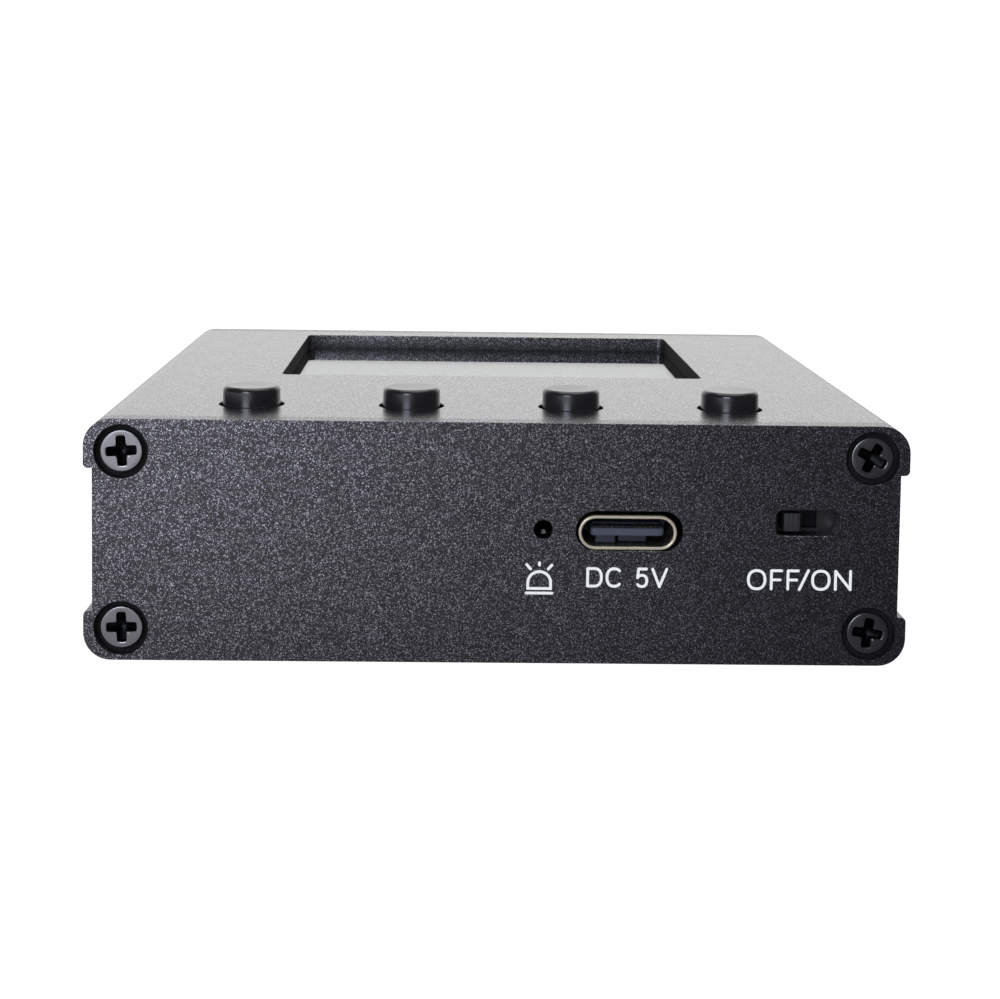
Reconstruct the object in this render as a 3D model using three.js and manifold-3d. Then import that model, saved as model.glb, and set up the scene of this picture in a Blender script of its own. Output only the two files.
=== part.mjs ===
// Pocket RF signal generator: an extruded aluminium case with a screwed plate at each end,
// a power and port board, a display board with four keys, a pouch battery and one SMA output.
// Millimetres, +Z up, the port end faces -Y, origin at the middle of the base.
import * as THREE from "three";
import { mergeVertices } from "three/addons/utils/BufferGeometryUtils.js";
import Module from "manifold-3d";

const wasm = await Module();
wasm.setup();

// Sizes of the case extrusion and of the plates that close its ends
const shell = {
  width: 74.5,
  height: 22,
  length: 66,
  wall: 1.6,
  cornerRadius: 2.5,
  earHeight: 4.5,
  earStep: 0.8,
  earRadius: 0.45,
};
const plate = { thickness: 2, brokenEdge: 0.15 };
const screwPort = { fromSide: 3.4, fromEdge: 2.95, bore: 2.2, wall: 0.95, mouth: 1.1 };
const rail = { reach: 1.4, rib: 1, play: 0.15 };
const displayOpening = { fromSide: 14.95, fromFront: 29.2, fromRear: 5.6, cornerRadius: 0.8 };
const keyRow = { count: 4, fromFace: 9.4, fromLeft: 14.04, fromRight: 15.04, hole: 6.2 };

// Sides of round forms: board parts and screws, then the larger rounds that show
const sides = { fine: 20, round: 28 };

// Clearances
const gap = { slide: 0.15, seat: 0.3, solder: 0.05, head: 0.1 };
const overrun = 1;
const weld = 1e-4;

// Steps of each rounded corner of the case's outline, halved
const outlineSegments = 3;

// Countersunk screws of the end plates
const screw = { head: 3.8, rim: 0.15, shank: 1.9, length: 6, sink: 4.9, hole: 2.3 };
const recess = { span: 2.75, arm: 0.88, depth: 0.95, tip: 0.5 };
// How far each cross recess happens to be turned, in degrees, from upper left round to lower left
const recessTurns = [4, -28, -8, 1.5];

// Circuit boards
const board = { thickness: 1.6, edgePlay: 0.3 };

// USB-C receptacle on the main board
const usb = {
  fromSide: 25.45,
  width: 8.94,
  height: 3.16,
  length: 7.35,
  wall: 0.3,
  behindFace: 0.15,
  tabLength: 0.9,
  tabThickness: 0.3,
  tabDepth: 1.1,
  tabFromEndShare: 0.2,
};
const tongue = { width: 6.69, thickness: 0.7, setBack: 0.35, root: 1.3, rootThickness: 1.3, block: 2.2 };
const usbSlot = { width: 9.7, height: 3.64, shiftX: 0.15, shiftZ: 0.2 };

// Charge lamp on the main board, seen through a hole in the port plate
const lamp = { fromUsb: 7.65, length: 1.25, width: 2, height: 0.8, setBack: 0.6, dome: 0.3 };
const lampHole = { diameter: 1.7, above: 1.85 };

// Slide switch on the main board, its tallest part
const slider = {
  fromSide: 9.65,
  width: 8.6,
  depth: 3.9,
  height: 4.25,
  sheet: 0.3,
  axisAbove: 2.65,
  travel: 1.8,
  setBack: 0.3,
};
const lever = {
  width: 1.5,
  height: 1.7,
  recessed: 0.3,
  carriageWidth: 3,
  carriageDepth: 1.4,
  carriageHeight: 2.3,
};
const leverRib = { count: 4, depth: 0.12, landShare: 0.5 };
const sliderSlot = { width: 5.85, height: 2.33, radius: 0.7, shift: 0.5 };

// Display stack, from the case wall down to its board
const pane = { margin: 2, thickness: 1 };
const stack = { air: 0.2, glass: 0.9, underPorts: 0.4 };
const lcd = { sideBezel: 5.35, endBezel: 2.45, lip: 1.35, glassShift: 0.3, corner: 0.35 };
const flex = { width: 18, thickness: 0.2, reach: 7, drop: 0.5 };
const flexSocket = { width: 22, depth: 4.2, height: 1.4, latch: 1.3, mouthShare: 0.6 };

// Keys on the display board
const key = { side: 6, chamfer: 0.5, underCap: 0.4, plate: 0.3, well: 4.8, travel: 0.3 };
const plunger = { diameter: 3.2, top: 4.3, flange: 4.2, flangeThickness: 0.7 };
const cap = {
  diameter: 5.4,
  taper: 0.08,
  stand: 1.62,
  fillet: 0.45,
  dish: 0.08,
  rim: 1,
  flangeThickness: 0.6,
};

// Board to board connector
const header = { pins: 7, rows: 2, pitch: 2.54, pin: 0.64, depth: 5, fromFace: 17.5, fromSide: 24.25 };
const socket = { height: 2.2, hole: 0.94, pinReach: 1.6 };

// Radio section on the main board
const shield = {
  width: 30,
  length: 21,
  height: 2.8,
  sheet: 0.3,
  lip: 1.1,
  fromRear: 7.2,
  vent: 1.6,
  vents: 3,
};
const synth = { x: -6, fromRear: 17, side: 5, height: 0.85, chamfer: 0.25 };
const oscillator = { x: 6.5, fromRear: 18, width: 3.2, length: 2.5, height: 1, lid: 0.3 };
const processor = { fromSide: 13.25, fromFace: 34, side: 7, height: 1.4, chamfer: 0.6 };
const charger = {
  fromSide: 17.25,
  fromFace: 14,
  width: 3.9,
  length: 4.9,
  height: 1.5,
  legs: 4,
  leg: 0.45,
  legReach: 1,
  legThickness: 0.2,
};
const coil = { fromSide: 10.25, fromFace: 18, side: 4.2, height: 2, chamfer: 0.8 };

// SMA output jack, edge mounted on the rear of the main board
const sma = {
  axisAboveBoard: 0.45,
  flange: 6.35,
  flangeThickness: 1.7,
  leg: 1,
  legLength: 4,
  legSpacing: 5.08,
  barrel: 6.3,
  outside: 8.5,
  bore: 4.6,
  mouthDepth: 1.9,
  chamfer: 0.4,
  hole: 6.6,
};
const dielectric = { diameter: 4.1 };
const contact = {
  diameter: 1.27,
  bore: 0.94,
  boreDepth: 2.6,
  tail: 0.84,
  tailReach: 2.6,
  slit: 0.2,
  flare: 0.1,
};
const nut = { sides: 6, acrossFlats: 8, thickness: 2, chamfer: 0.35 };
const washer = { diameter: 9, thickness: 0.5, teeth: 8, tooth: 0.5 };

// Battery and its plug, under the main board
const cell = {
  fromLeft: 13.25,
  fromRight: 17.25,
  fromFace: 36,
  width: 34,
  underBoard: 1.75,
  edgeShare: 0.32,
  terrace: 4,
  terraceShare: 0.52,
};
const pad = { length: 36, width: 24, thickness: 0.5 };
const inlet = {
  fromSide: 8.65,
  fromFace: 33,
  width: 5,
  height: 3.2,
  depth: 5.6,
  wall: 0.5,
  floor: 1,
  pin: 0.4,
};
const plug = { out: 1.2, pitch: 1.25, bore: 1.05 };
const lead = { diameter: 0.85, sides: 6, steps: 10, into: 0.9, fromFace: 24, straightShare: 0.6 };

// Places that follow from the sizes above
const overallLength = shell.length + 2 * plate.thickness;
const faceY = -overallLength / 2;
const insideY = -shell.length / 2;
const halfWidth = shell.width / 2;
const sideX = halfWidth - shell.earStep - shell.wall;
const ceiling = shell.height - shell.wall;
const portX = halfWidth - screwPort.fromSide;
const portZ = [shell.height - screwPort.fromEdge, screwPort.fromEdge];
const portRadius = screwPort.bore / 2 + screwPort.wall;
const paneBottom = ceiling - pane.thickness;
const displayBoardTop = shell.height - screwPort.fromEdge - portRadius - stack.underPorts;
const displayBoardBottom = displayBoardTop - board.thickness;
const mainBoardTop = displayBoardBottom - gap.seat - slider.height;
const mainBoardBottom = mainBoardTop - board.thickness;
const boardHalfWidth = sideX - board.edgePlay;
const boardFront = insideY + board.edgePlay;
const openingWidth = shell.width - 2 * displayOpening.fromSide;
const openingLength = overallLength - displayOpening.fromFront - displayOpening.fromRear;
const openingY = (displayOpening.fromFront - displayOpening.fromRear) / 2;
const keyY = faceY + keyRow.fromFace;
const keyPitch = (shell.width - keyRow.fromLeft - keyRow.fromRight) / (keyRow.count - 1);
const keyX = Array.from({ length: keyRow.count }, (unused, i) => -halfWidth + keyRow.fromLeft + i * keyPitch);
const smaAxis = mainBoardTop + sma.axisAboveBoard;
const mainBoardRear = -insideY - gap.head - sma.flangeThickness;
const sliderAxis = mainBoardTop + slider.axisAbove;
const sliderX = halfWidth - slider.fromSide;
const inletX = halfWidth - inlet.fromSide;
const usbX = halfWidth - usb.fromSide;
const lampX = usbX - lamp.fromUsb;
const chargerX = halfWidth - charger.fromSide;
const headerX = -halfWidth + header.fromSide;
const processorX = -halfWidth + processor.fromSide;
const keyHeight = ceiling - gap.seat - cap.flangeThickness - key.underCap - displayBoardTop;
const cellX = (cell.fromLeft - cell.fromRight) / 2;
const cellLength = shell.width - cell.fromLeft - cell.fromRight;
const cellThickness = mainBoardBottom - cell.underBoard - pad.thickness - shell.wall;

// Finishes
const finishes = {
  anodised: { color: 0x2a2a2e, roughness: 0.5, metalness: 0.7 },
  screwBlack: { color: 0x1c1c1e, roughness: 0.35, metalness: 0.9 },
  steel: { color: 0xb9b6ae, roughness: 0.3, metalness: 1 },
  gold: { color: 0xc9a24a, roughness: 0.3, metalness: 1 },
  blackPlastic: { color: 0x151517, roughness: 0.4, metalness: 0 },
  keyPlastic: { color: 0x1b1b1d, roughness: 0.25, metalness: 0 },
  palePlastic: { color: 0xe9e6dc, roughness: 0.5, metalness: 0 },
  glass: { color: 0x14161a, roughness: 0.08, metalness: 0 },
  lcdGlass: { color: 0x22262b, roughness: 0.15, metalness: 0 },
  laminate: { color: 0x0f4a2b, roughness: 0.45, metalness: 0 },
  chip: { color: 0x1a1a1a, roughness: 0.6, metalness: 0 },
  foil: { color: 0xb8bcc2, roughness: 0.35, metalness: 0.8 },
  foam: { color: 0x3a3a3a, roughness: 0.95, metalness: 0 },
  polyimide: { color: 0xb8742a, roughness: 0.4, metalness: 0 },
  ptfe: { color: 0xf2f2ee, roughness: 0.5, metalness: 0 },
  lampResin: { color: 0xefe7c8, roughness: 0.3, metalness: 0 },
  redLead: { color: 0xb31d1d, roughness: 0.5, metalness: 0 },
  blackLead: { color: 0x161616, roughness: 0.5, metalness: 0 },
};

// Solids: a closed geometry becomes one that can be joined and cut, and turns back afterwards
function solid(shape) {
  if (!shape.isBufferGeometry) return shape;
  const bare = shape.clone();
  bare.deleteAttribute("normal");
  bare.deleteAttribute("uv");
  const merged = mergeVertices(bare, weld);
  return new wasm.Manifold(
    new wasm.Mesh({
      numProp: 3,
      vertProperties: new Float32Array(merged.attributes.position.array),
      triVerts: new Uint32Array(merged.index.array),
    }),
  );
}

function geometry(shape) {
  if (shape.isBufferGeometry) return shape;
  const mesh = shape.getMesh();
  const made = new THREE.BufferGeometry();
  made.setAttribute("position", new THREE.BufferAttribute(mesh.vertProperties, mesh.numProp));
  made.setIndex(new THREE.BufferAttribute(mesh.triVerts, 1));
  const flat = made.toNonIndexed();
  flat.computeVertexNormals();
  return flat;
}

const join = (...shapes) => shapes.map(solid).reduce((sum, next) => sum.add(next));
const cut = (shape, ...tools) => tools.map(solid).reduce((rest, tool) => rest.subtract(tool), solid(shape));
const common = (a, b) => solid(a).intersect(solid(b));

// A block between two corners
function block(x0, x1, y0, y1, z0, z1) {
  const made = new THREE.BoxGeometry(x1 - x0, y1 - y0, z1 - z0);
  return made.translate((x0 + x1) / 2, (y0 + y1) / 2, (z0 + z1) / 2);
}

// Prisms: a flat shape carried along one axis between two places
function alongZ(shape, z0, z1, segments = 6) {
  const made = new THREE.ExtrudeGeometry(shape, {
    depth: z1 - z0,
    bevelEnabled: false,
    curveSegments: segments,
  });
  return made.translate(0, 0, z0);
}

function alongY(shape, y0, y1, segments = 6) {
  return alongZ(shape, 0, y1 - y0, segments).rotateX(Math.PI / 2).translate(0, y1, 0);
}

function alongX(shape, x0, x1, segments = 6) {
  const turn = new THREE.Matrix4().makeBasis(
    new THREE.Vector3(0, 1, 0),
    new THREE.Vector3(0, 0, 1),
    new THREE.Vector3(1, 0, 0),
  );
  return alongZ(shape, x0, x1, segments).applyMatrix4(turn);
}

// Round bars along each axis
function barZ(radius, z0, z1, x = 0, y = 0, count = sides.fine) {
  const made = new THREE.CylinderGeometry(radius, radius, z1 - z0, count);
  return made.rotateX(Math.PI / 2).translate(x, y, (z0 + z1) / 2);
}

function barY(radius, y0, y1, x = 0, z = 0, count = sides.fine) {
  const made = new THREE.CylinderGeometry(radius, radius, y1 - y0, count);
  return made.translate(x, (y0 + y1) / 2, z);
}

// Revolves a profile of [radius, height] points about Z, or about Y with the heights along +Y
function turned(points, count = sides.fine) {
  const profile = points.map(([radius, height]) => new THREE.Vector2(radius, height));
  return new THREE.LatheGeometry(profile, count);
}

const turnedZ = (points, count) => turned(points, count).rotateX(Math.PI / 2);

// Flat shapes
function polygon(points) {
  return new THREE.Shape(points.map(([x, y]) => new THREE.Vector2(x, y)));
}

function roundedRectangle(width, height, radius, x = 0, y = 0) {
  const w = width / 2;
  const h = height / 2;
  const made = new THREE.Shape();
  made.moveTo(x - w + radius, y - h);
  made.lineTo(x + w - radius, y - h);
  made.absarc(x + w - radius, y - h + radius, radius, -Math.PI / 2, 0);
  made.lineTo(x + w, y + h - radius);
  made.absarc(x + w - radius, y + h - radius, radius, 0, Math.PI / 2);
  made.lineTo(x - w + radius, y + h);
  made.absarc(x - w + radius, y + h - radius, radius, Math.PI / 2, Math.PI);
  made.lineTo(x - w, y - h + radius);
  made.absarc(x - w + radius, y - h + radius, radius, Math.PI, 1.5 * Math.PI);
  return made;
}

// A slot with round ends, a hair short of full rounds so that no edge has zero length
function obround(width, height, x = 0, y = 0) {
  const made = new THREE.Shape();
  const radius = height / 2;
  const reach = width / 2 - radius;
  made.absarc(x + reach, y, radius, -Math.PI / 2, Math.PI / 2);
  made.absarc(x - reach, y, radius, Math.PI / 2, 1.5 * Math.PI);
  return made;
}

// A square with cut corners
function cutSquare(side, chamfer) {
  const h = side / 2;
  const c = h - chamfer;
  return polygon([
    [-c, -h],
    [c, -h],
    [h, -c],
    [h, c],
    [c, h],
    [-c, h],
    [-h, c],
    [-h, -c],
  ]);
}

// A quarter round of a profile, from one angle to another
function round(cx, cy, radius, from, to, steps = 5) {
  return Array.from({ length: steps + 1 }, (unused, i) => {
    const angle = from + ((to - from) * i) / steps;
    return [cx + radius * Math.cos(angle), cy + radius * Math.sin(angle)];
  });
}

// The outline that the case and both plates share: rounded corners, and an ear above and below
// each side's shallow channel
function caseOutline() {
  const { height, cornerRadius: r, earHeight, earStep, earRadius: e } = shell;
  const w = halfWidth;
  const made = new THREE.Shape();
  made.moveTo(-w + r, 0);
  made.lineTo(w - r, 0);
  made.absarc(w - r, r, r, -Math.PI / 2, 0);
  made.lineTo(w, earHeight - e);
  made.absarc(w - e, earHeight - e, e, 0, Math.PI / 2);
  made.lineTo(w - earStep, earHeight);
  made.lineTo(w - earStep, height - earHeight);
  made.lineTo(w - e, height - earHeight);
  made.absarc(w - e, height - earHeight + e, e, -Math.PI / 2, 0);
  made.lineTo(w, height - r);
  made.absarc(w - r, height - r, r, 0, Math.PI / 2);
  made.lineTo(-w + r, height);
  made.absarc(-w + r, height - r, r, Math.PI / 2, Math.PI);
  made.lineTo(-w, height - earHeight + e);
  made.absarc(-w + e, height - earHeight + e, e, Math.PI, 1.5 * Math.PI);
  made.lineTo(-w + earStep, height - earHeight);
  made.lineTo(-w + earStep, earHeight);
  made.lineTo(-w + e, earHeight);
  made.absarc(-w + e, earHeight - e, e, Math.PI / 2, Math.PI);
  made.lineTo(-w, r);
  made.absarc(-w + r, r, r, Math.PI, 1.5 * Math.PI);
  return made;
}

// Groups and meshes
const generator = new THREE.Group();

function group(x, y, z, parent = generator) {
  const made = new THREE.Group();
  made.position.set(x, y, z);
  parent.add(made);
  return made;
}

function piece(parent, name, shape, finish) {
  const made = new THREE.Mesh(geometry(shape), new THREE.MeshStandardMaterial(finishes[finish]));
  made.name = name;
  parent.add(made);
  return made;
}

// Case extrusion: one profile with board rails and four open screw ports, then the milled openings
function caseShell() {
  const y0 = insideY;
  const y1 = -insideY;
  const cavity = block(-sideX, sideX, y0 - overrun, y1 + overrun, shell.wall, ceiling);
  const outside = solid(alongY(caseOutline(), y0, y1, outlineSegments));
  let made = cut(outside, cavity);
  for (const side of [-1, 1]) {
    for (const z of portZ) {
      const boss = barY(portRadius, y0, y1, side * portX, z);
      made = made.add(common(boss, outside));
    }
    for (const z of railHeights()) {
      const inner = side * (sideX - rail.reach);
      const outer = side * (sideX + shell.wall / 2);
      made = made.add(solid(block(Math.min(inner, outer), Math.max(inner, outer), y0, y1, z, z + rail.rib)));
    }
  }
  for (const side of [-1, 1]) {
    for (const z of portZ) {
      const bore = barY(screwPort.bore / 2, y0 - overrun, y1 + overrun, side * portX, z);
      const far = side * (portX - portRadius - overrun);
      const near = side * portX;
      const half = screwPort.mouth / 2;
      const [left, right] = [Math.min(far, near), Math.max(far, near)];
      const mouth = block(left, right, y0 - overrun, y1 + overrun, z - half, z + half);
      made = cut(made, bore, mouth);
    }
  }
  const low = ceiling - overrun;
  const high = shell.height + overrun;
  const opening = roundedRectangle(openingWidth, openingLength, displayOpening.cornerRadius, 0, openingY);
  made = cut(made, alongZ(opening, low, high, 3));
  for (const x of keyX) {
    made = cut(made, barZ(keyRow.hole / 2, low, high, x, keyY, sides.round));
  }
  return made;
}

// The lower faces of the ribs: one under each board, and one over the main board
function railHeights() {
  return [
    mainBoardBottom - rail.play - rail.rib,
    mainBoardTop + rail.play,
    displayBoardBottom - rail.play - rail.rib,
  ];
}

// End plate, its inner face at y = 0 and its outer face at y = -thickness
function endPlate(openings) {
  const edge = plate.brokenEdge;
  const made = new THREE.ExtrudeGeometry(caseOutline(), {
    depth: plate.thickness - 2 * edge,
    bevelEnabled: true,
    bevelThickness: edge,
    bevelSize: edge,
    bevelOffset: -edge,
    bevelSegments: 1,
    curveSegments: outlineSegments,
  });
  const blank = made.rotateX(Math.PI / 2).translate(0, -edge, 0);
  const tools = [...openings];
  for (const side of [-1, 1]) {
    for (const z of portZ) tools.push(countersink().translate(side * portX, -plate.thickness, z));
  }
  return cut(blank, ...tools);
}

// Screw hole with its cone, opening at y = 0 towards -Y
function countersink() {
  const deep = (screw.sink - screw.hole) / 2;
  return turned([
    [0, -overrun],
    [screw.sink / 2 + overrun, -overrun],
    [screw.hole / 2, deep],
    [screw.hole / 2, plate.thickness + overrun],
    [0, plate.thickness + overrun],
  ]);
}

// Depth of a screw's head below the plate: its cone stays one clearance inside the countersink
const headDepth = (screw.sink - screw.head) / 2 - gap.head - screw.rim;

// Countersunk screw, head at y = 0 and tip towards +Y
function countersunkScrew() {
  const cone = (screw.head - screw.shank) / 2;
  const shape = turned(
    [
      [0, 0],
      [screw.head / 2, 0],
      [screw.head / 2, screw.rim],
      [screw.shank / 2, screw.rim + cone],
      [screw.shank / 2, screw.length - cone / 2],
      [screw.shank / 4, screw.length],
      [0, screw.length],
    ],
  );
  const arm = recess.arm / 2;
  const span = recess.span / 2;
  const cross = join(
    block(-arm, arm, -overrun, recess.depth, -span, span),
    block(-span, span, -overrun, recess.depth, -arm, arm),
  );
  const slope = (span - recess.tip / 2) / recess.depth;
  const funnel = turned(
    [
      [0, -overrun],
      [span + slope * overrun, -overrun],
      [recess.tip / 2, recess.depth],
      [0, recess.depth],
    ],
    16,
  );
  return cut(shape, common(cross, funnel));
}

function screws(parent, name) {
  const places = [
    [-portX, portZ[0]],
    [portX, portZ[0]],
    [portX, portZ[1]],
    [-portX, portZ[1]],
  ];
  places.forEach(([x, z], i) => {
    const made = piece(parent, `${name}_${i + 1}`, countersunkScrew(), "screwBlack");
    made.position.set(x, -plate.thickness + headDepth, z);
    made.rotation.y = -THREE.MathUtils.degToRad(recessTurns[i]);
  });
}

// Port end: the plate with the USB slot, the lamp hole and the switch slot
function portEnd() {
  const end = group(0, insideY, 0);
  const usbZ = mainBoardTop + usb.height / 2 + usbSlot.shiftZ;
  const back = -plate.thickness - overrun;
  const { width, height, radius, shift } = sliderSlot;
  const slots = [
    alongY(obround(usbSlot.width, usbSlot.height, usbX + usbSlot.shiftX, usbZ), back, overrun, 8),
    barY(lampHole.diameter / 2, back, overrun, lampX, mainBoardTop + lampHole.above),
    alongY(roundedRectangle(width, height, radius, sliderX + shift, sliderAxis), back, overrun, 3),
  ];
  piece(end, "port_panel", endPlate(slots), "anodised");
  screws(end, "port_screw");
}

// RF end: the same plate turned round, with one hole for the output jack
function rfEnd() {
  const end = group(0, -insideY, 0);
  end.rotation.z = Math.PI;
  const hole = barY(sma.hole / 2, -plate.thickness - overrun, overrun, 0, smaAxis, sides.round);
  piece(end, "rf_panel", endPlate([hole]), "anodised");
  screws(end, "rf_screw");
}

// Main board, with slots for the four tabs of the USB shell
function mainBoard() {
  const w = boardHalfWidth;
  const blank = block(-w, w, boardFront, mainBoardRear, mainBoardBottom, mainBoardTop);
  return cut(blank, ...usbTabs(gap.slide, overrun));
}

// The USB shell's four tabs, each grown by a margin and made longer at its tip
function usbTabs(margin, longer) {
  const front = faceY + usb.behindFace;
  const rows = [usb.tabFromEndShare, 1 - usb.tabFromEndShare].map((share) => {
    const free = insideY + board.edgePlay + gap.seat;
    return free + share * (front + usb.length - free);
  });
  const tabs = [];
  for (const side of [-1, 1]) {
    const x = usbX + side * (usb.width / 2 - usb.tabThickness / 2);
    for (const y of rows) {
      tabs.push(
        block(
          x - usb.tabThickness / 2 - margin,
          x + usb.tabThickness / 2 + margin,
          y - usb.tabLength / 2 - margin,
          y + usb.tabLength / 2 + margin,
          mainBoardTop - usb.tabDepth - longer,
          mainBoardTop + usb.height / 2,
        ),
      );
    }
  }
  return tabs;
}

// USB-C receptacle: a drawn steel shell with board tabs, and the insulator with its tongue
function usbReceptacle() {
  const z = mainBoardTop + usb.height / 2;
  const front = faceY + usb.behindFace;
  const back = front + usb.length;
  const inner = obround(usb.width - 2 * usb.wall, usb.height - 2 * usb.wall, usbX, z);
  const tube = cut(
    alongY(obround(usb.width, usb.height, usbX, z), front, back, 8),
    alongY(inner, front - overrun, back + overrun, 8),
  );
  const keepOut = alongY(inner, front - overrun, back + overrun, 8);
  const shape = cut(join(tube, ...usbTabs(0, 0)), keepOut);
  piece(generator, "usb_shell", shape, "steel");

  const trim = 2 * (usb.wall + gap.slide);
  const blockFront = back - tongue.block;
  const rootFront = blockFront - tongue.root;
  const insulator = join(
    alongY(obround(usb.width - trim, usb.height - trim, usbX, z), blockFront, back, 6),
    alongY(
      roundedRectangle(tongue.width, tongue.rootThickness, tongue.rootThickness / 4, usbX, z),
      rootFront,
      blockFront + overrun,
      2,
    ),
    alongY(
      roundedRectangle(tongue.width, tongue.thickness, tongue.thickness / 4, usbX, z),
      front + tongue.setBack,
      blockFront + overrun,
      2,
    ),
  );
  piece(generator, "usb_tongue", insulator, "blackPlastic");
}

// Charge lamp: a resin chip with a low dome
function chargeLamp() {
  const y = boardFront + lamp.setBack + lamp.length / 2;
  const w = lamp.width / 2;
  const base = block(-w, w, -lamp.length / 2, lamp.length / 2, 0, lamp.height - lamp.dome);
  const dome = new THREE.SphereGeometry(1, 16, 10);
  dome.scale(lamp.length / 2, lamp.length / 2, lamp.dome).translate(0, 0, lamp.height - lamp.dome);
  const made = piece(generator, "charge_lamp", join(base, dome), "lampResin");
  made.position.set(lampX, y, mainBoardTop);
}

// Slide switch, worked out about the middle of its front face at the lever's height
function slideSwitch() {
  const place = group(sliderX, boardFront + slider.setBack, sliderAxis);
  const w = slider.width / 2;
  const low = -slider.axisAbove;
  const high = slider.height - slider.axisAbove;
  const t = slider.sheet;
  const play = gap.slide;
  const slotHalf = (lever.width + slider.travel) / 2 + play;
  const slotHigh = lever.height / 2 + play;
  const cover = cut(
    block(-w, w, 0, slider.depth, low, high),
    block(-w + t, w - t, t, slider.depth + overrun, low - overrun, high - t),
    block(-slotHalf, slotHalf, -overrun, t + overrun, -slotHigh, slotHigh),
  );
  piece(place, "switch_cover", cover, "steel");

  const c = gap.head;
  const grooveHalf = (lever.carriageWidth + slider.travel) / 2 + play;
  const grooveHigh = lever.carriageHeight / 2 + play;
  const front = t + c;
  const grooveBack = front + lever.carriageDepth + 2 * play;
  const housing = cut(
    block(-w + t + c, w - t - c, front, slider.depth, low, high - t - c),
    block(-grooveHalf, grooveHalf, front - overrun, grooveBack, -grooveHigh, grooveHigh),
  );
  piece(place, "switch_housing", housing, "blackPlastic");

  const tip = faceY + lever.recessed - (boardFront + slider.setBack);
  const carriageFront = front + play;
  const carriageBack = carriageFront + lever.carriageDepth;
  const stem = alongZ(ribbedStem(tip, carriageBack - overrun / 2), -lever.height / 2, lever.height / 2);
  const half = lever.carriageWidth / 2;
  const carriage = block(
    -half,
    half,
    carriageFront,
    carriageBack,
    -lever.carriageHeight / 2,
    lever.carriageHeight / 2,
  );
  const made = piece(place, "switch_lever", join(stem, carriage), "blackPlastic");
  made.position.x = -slider.travel / 2;
}

// The lever's stem seen from above, with upright ribs across its tip
function ribbedStem(tip, root) {
  const w = lever.width / 2;
  const step = lever.width / leverRib.count;
  const land = (step * leverRib.landShare) / 2;
  const points = [
    [w, root],
    [-w, root],
  ];
  for (let i = 0; i < leverRib.count; i++) {
    const x = -w + (i + 0.5) * step;
    const left = i === 0 ? -w : x - land;
    const right = i === leverRib.count - 1 ? w : x + land;
    points.push([left, tip], [right, tip]);
    if (i < leverRib.count - 1) points.push([x + step / 2, tip + leverRib.depth]);
  }
  return polygon(points);
}

// Window pane glued under the wall, the LCD below it, its tray, and the tail to the board
function display() {
  const place = group(0, openingY, 0);
  const paneWidth = openingWidth + 2 * pane.margin;
  const paneLength = openingLength + 2 * pane.margin;
  const corner = displayOpening.cornerRadius + pane.margin / 2;
  const sheet = alongZ(roundedRectangle(paneWidth, paneLength, corner), paneBottom, ceiling, 3);
  piece(place, "display_window", sheet, "glass");

  const glassTop = paneBottom - stack.air;
  const trayTop = glassTop - stack.glass;
  const trayWidth = openingWidth + 2 * lcd.sideBezel;
  const trayLength = openingLength + 2 * lcd.endBezel;
  const glassWidth = trayWidth - 2 * lcd.lip;
  const glassLength = trayLength - 2 * lcd.lip;
  const glassShape = roundedRectangle(glassWidth, glassLength, lcd.corner, 0, lcd.glassShift);
  piece(place, "lcd_glass", alongZ(glassShape, trayTop, glassTop, 2), "lcdGlass");
  const rim = trayTop + stack.glass / 2;
  const tray = cut(
    alongZ(roundedRectangle(trayWidth, trayLength, lcd.corner), displayBoardTop, rim, 2),
    alongZ(
      roundedRectangle(
        glassWidth + 2 * gap.slide,
        glassLength + 2 * gap.slide,
        lcd.corner,
        0,
        lcd.glassShift,
      ),
      trayTop,
      trayTop + overrun,
      2,
    ),
  );
  piece(place, "lcd_tray", tray, "foil");

  displayTail(-trayLength / 2 - gap.seat, place);
}

// The flexible tail leaves the tray's front edge and drops into its socket
function displayTail(edge, place) {
  const high = displayBoardTop + flexSocket.height / 2 + flex.drop / 2;
  const low = high - flex.drop;
  const t = flex.thickness / 2;
  const reachShares = [0, 0.2, 0.35, 0.5, 0.65, 1];
  const dropShares = [0, 0.06, 0.28, 0.72, 0.94, 1];
  const line = reachShares.map((share, i) => {
    return [edge - share * flex.reach, high + dropShares[i] * (low - high)];
  });
  const upper = line.map(([y, z]) => [y, z + t]);
  const lower = line.map(([y, z]) => [y, z - t]).reverse();
  const strip = alongX(polygon([...lower, ...upper]), -flex.width / 2, flex.width / 2);
  piece(place, "display_tail", strip, "polyimide");

  const y1 = edge - flex.reach + flexSocket.depth * flexSocket.mouthShare;
  const y0 = y1 - flexSocket.depth;
  const top = displayBoardTop + flexSocket.height;
  const w = flexSocket.width / 2;
  const clear = gap.slide + t;
  const mouth = flex.width / 2 + gap.slide;
  const made = cut(
    join(
      block(-w, w, y0, y1, displayBoardTop, top),
      block(-w - flexSocket.latch, w + flexSocket.latch, y0, y0 + flexSocket.latch, displayBoardTop, low),
    ),
    block(-mouth, mouth, edge - flex.reach - gap.seat, y1 + overrun, low - clear, low + clear),
  );
  piece(place, "tail_socket", made, "palePlastic");
}

// Tactile keys: housing, cover plate, plunger, and the cap that comes through the case
function keys() {
  keyX.forEach((x, i) => {
    const place = group(x, keyY, displayBoardTop);
    const number = i + 1;
    piece(place, `key_housing_${number}`, keyHousing(), "blackPlastic");
    piece(place, `key_plate_${number}`, keyPlate(), "steel");
    piece(place, `key_plunger_${number}`, keyPlunger(), "blackPlastic");
    piece(place, `key_cap_${number}`, keyCap(), "keyPlastic");
  });
}

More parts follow.
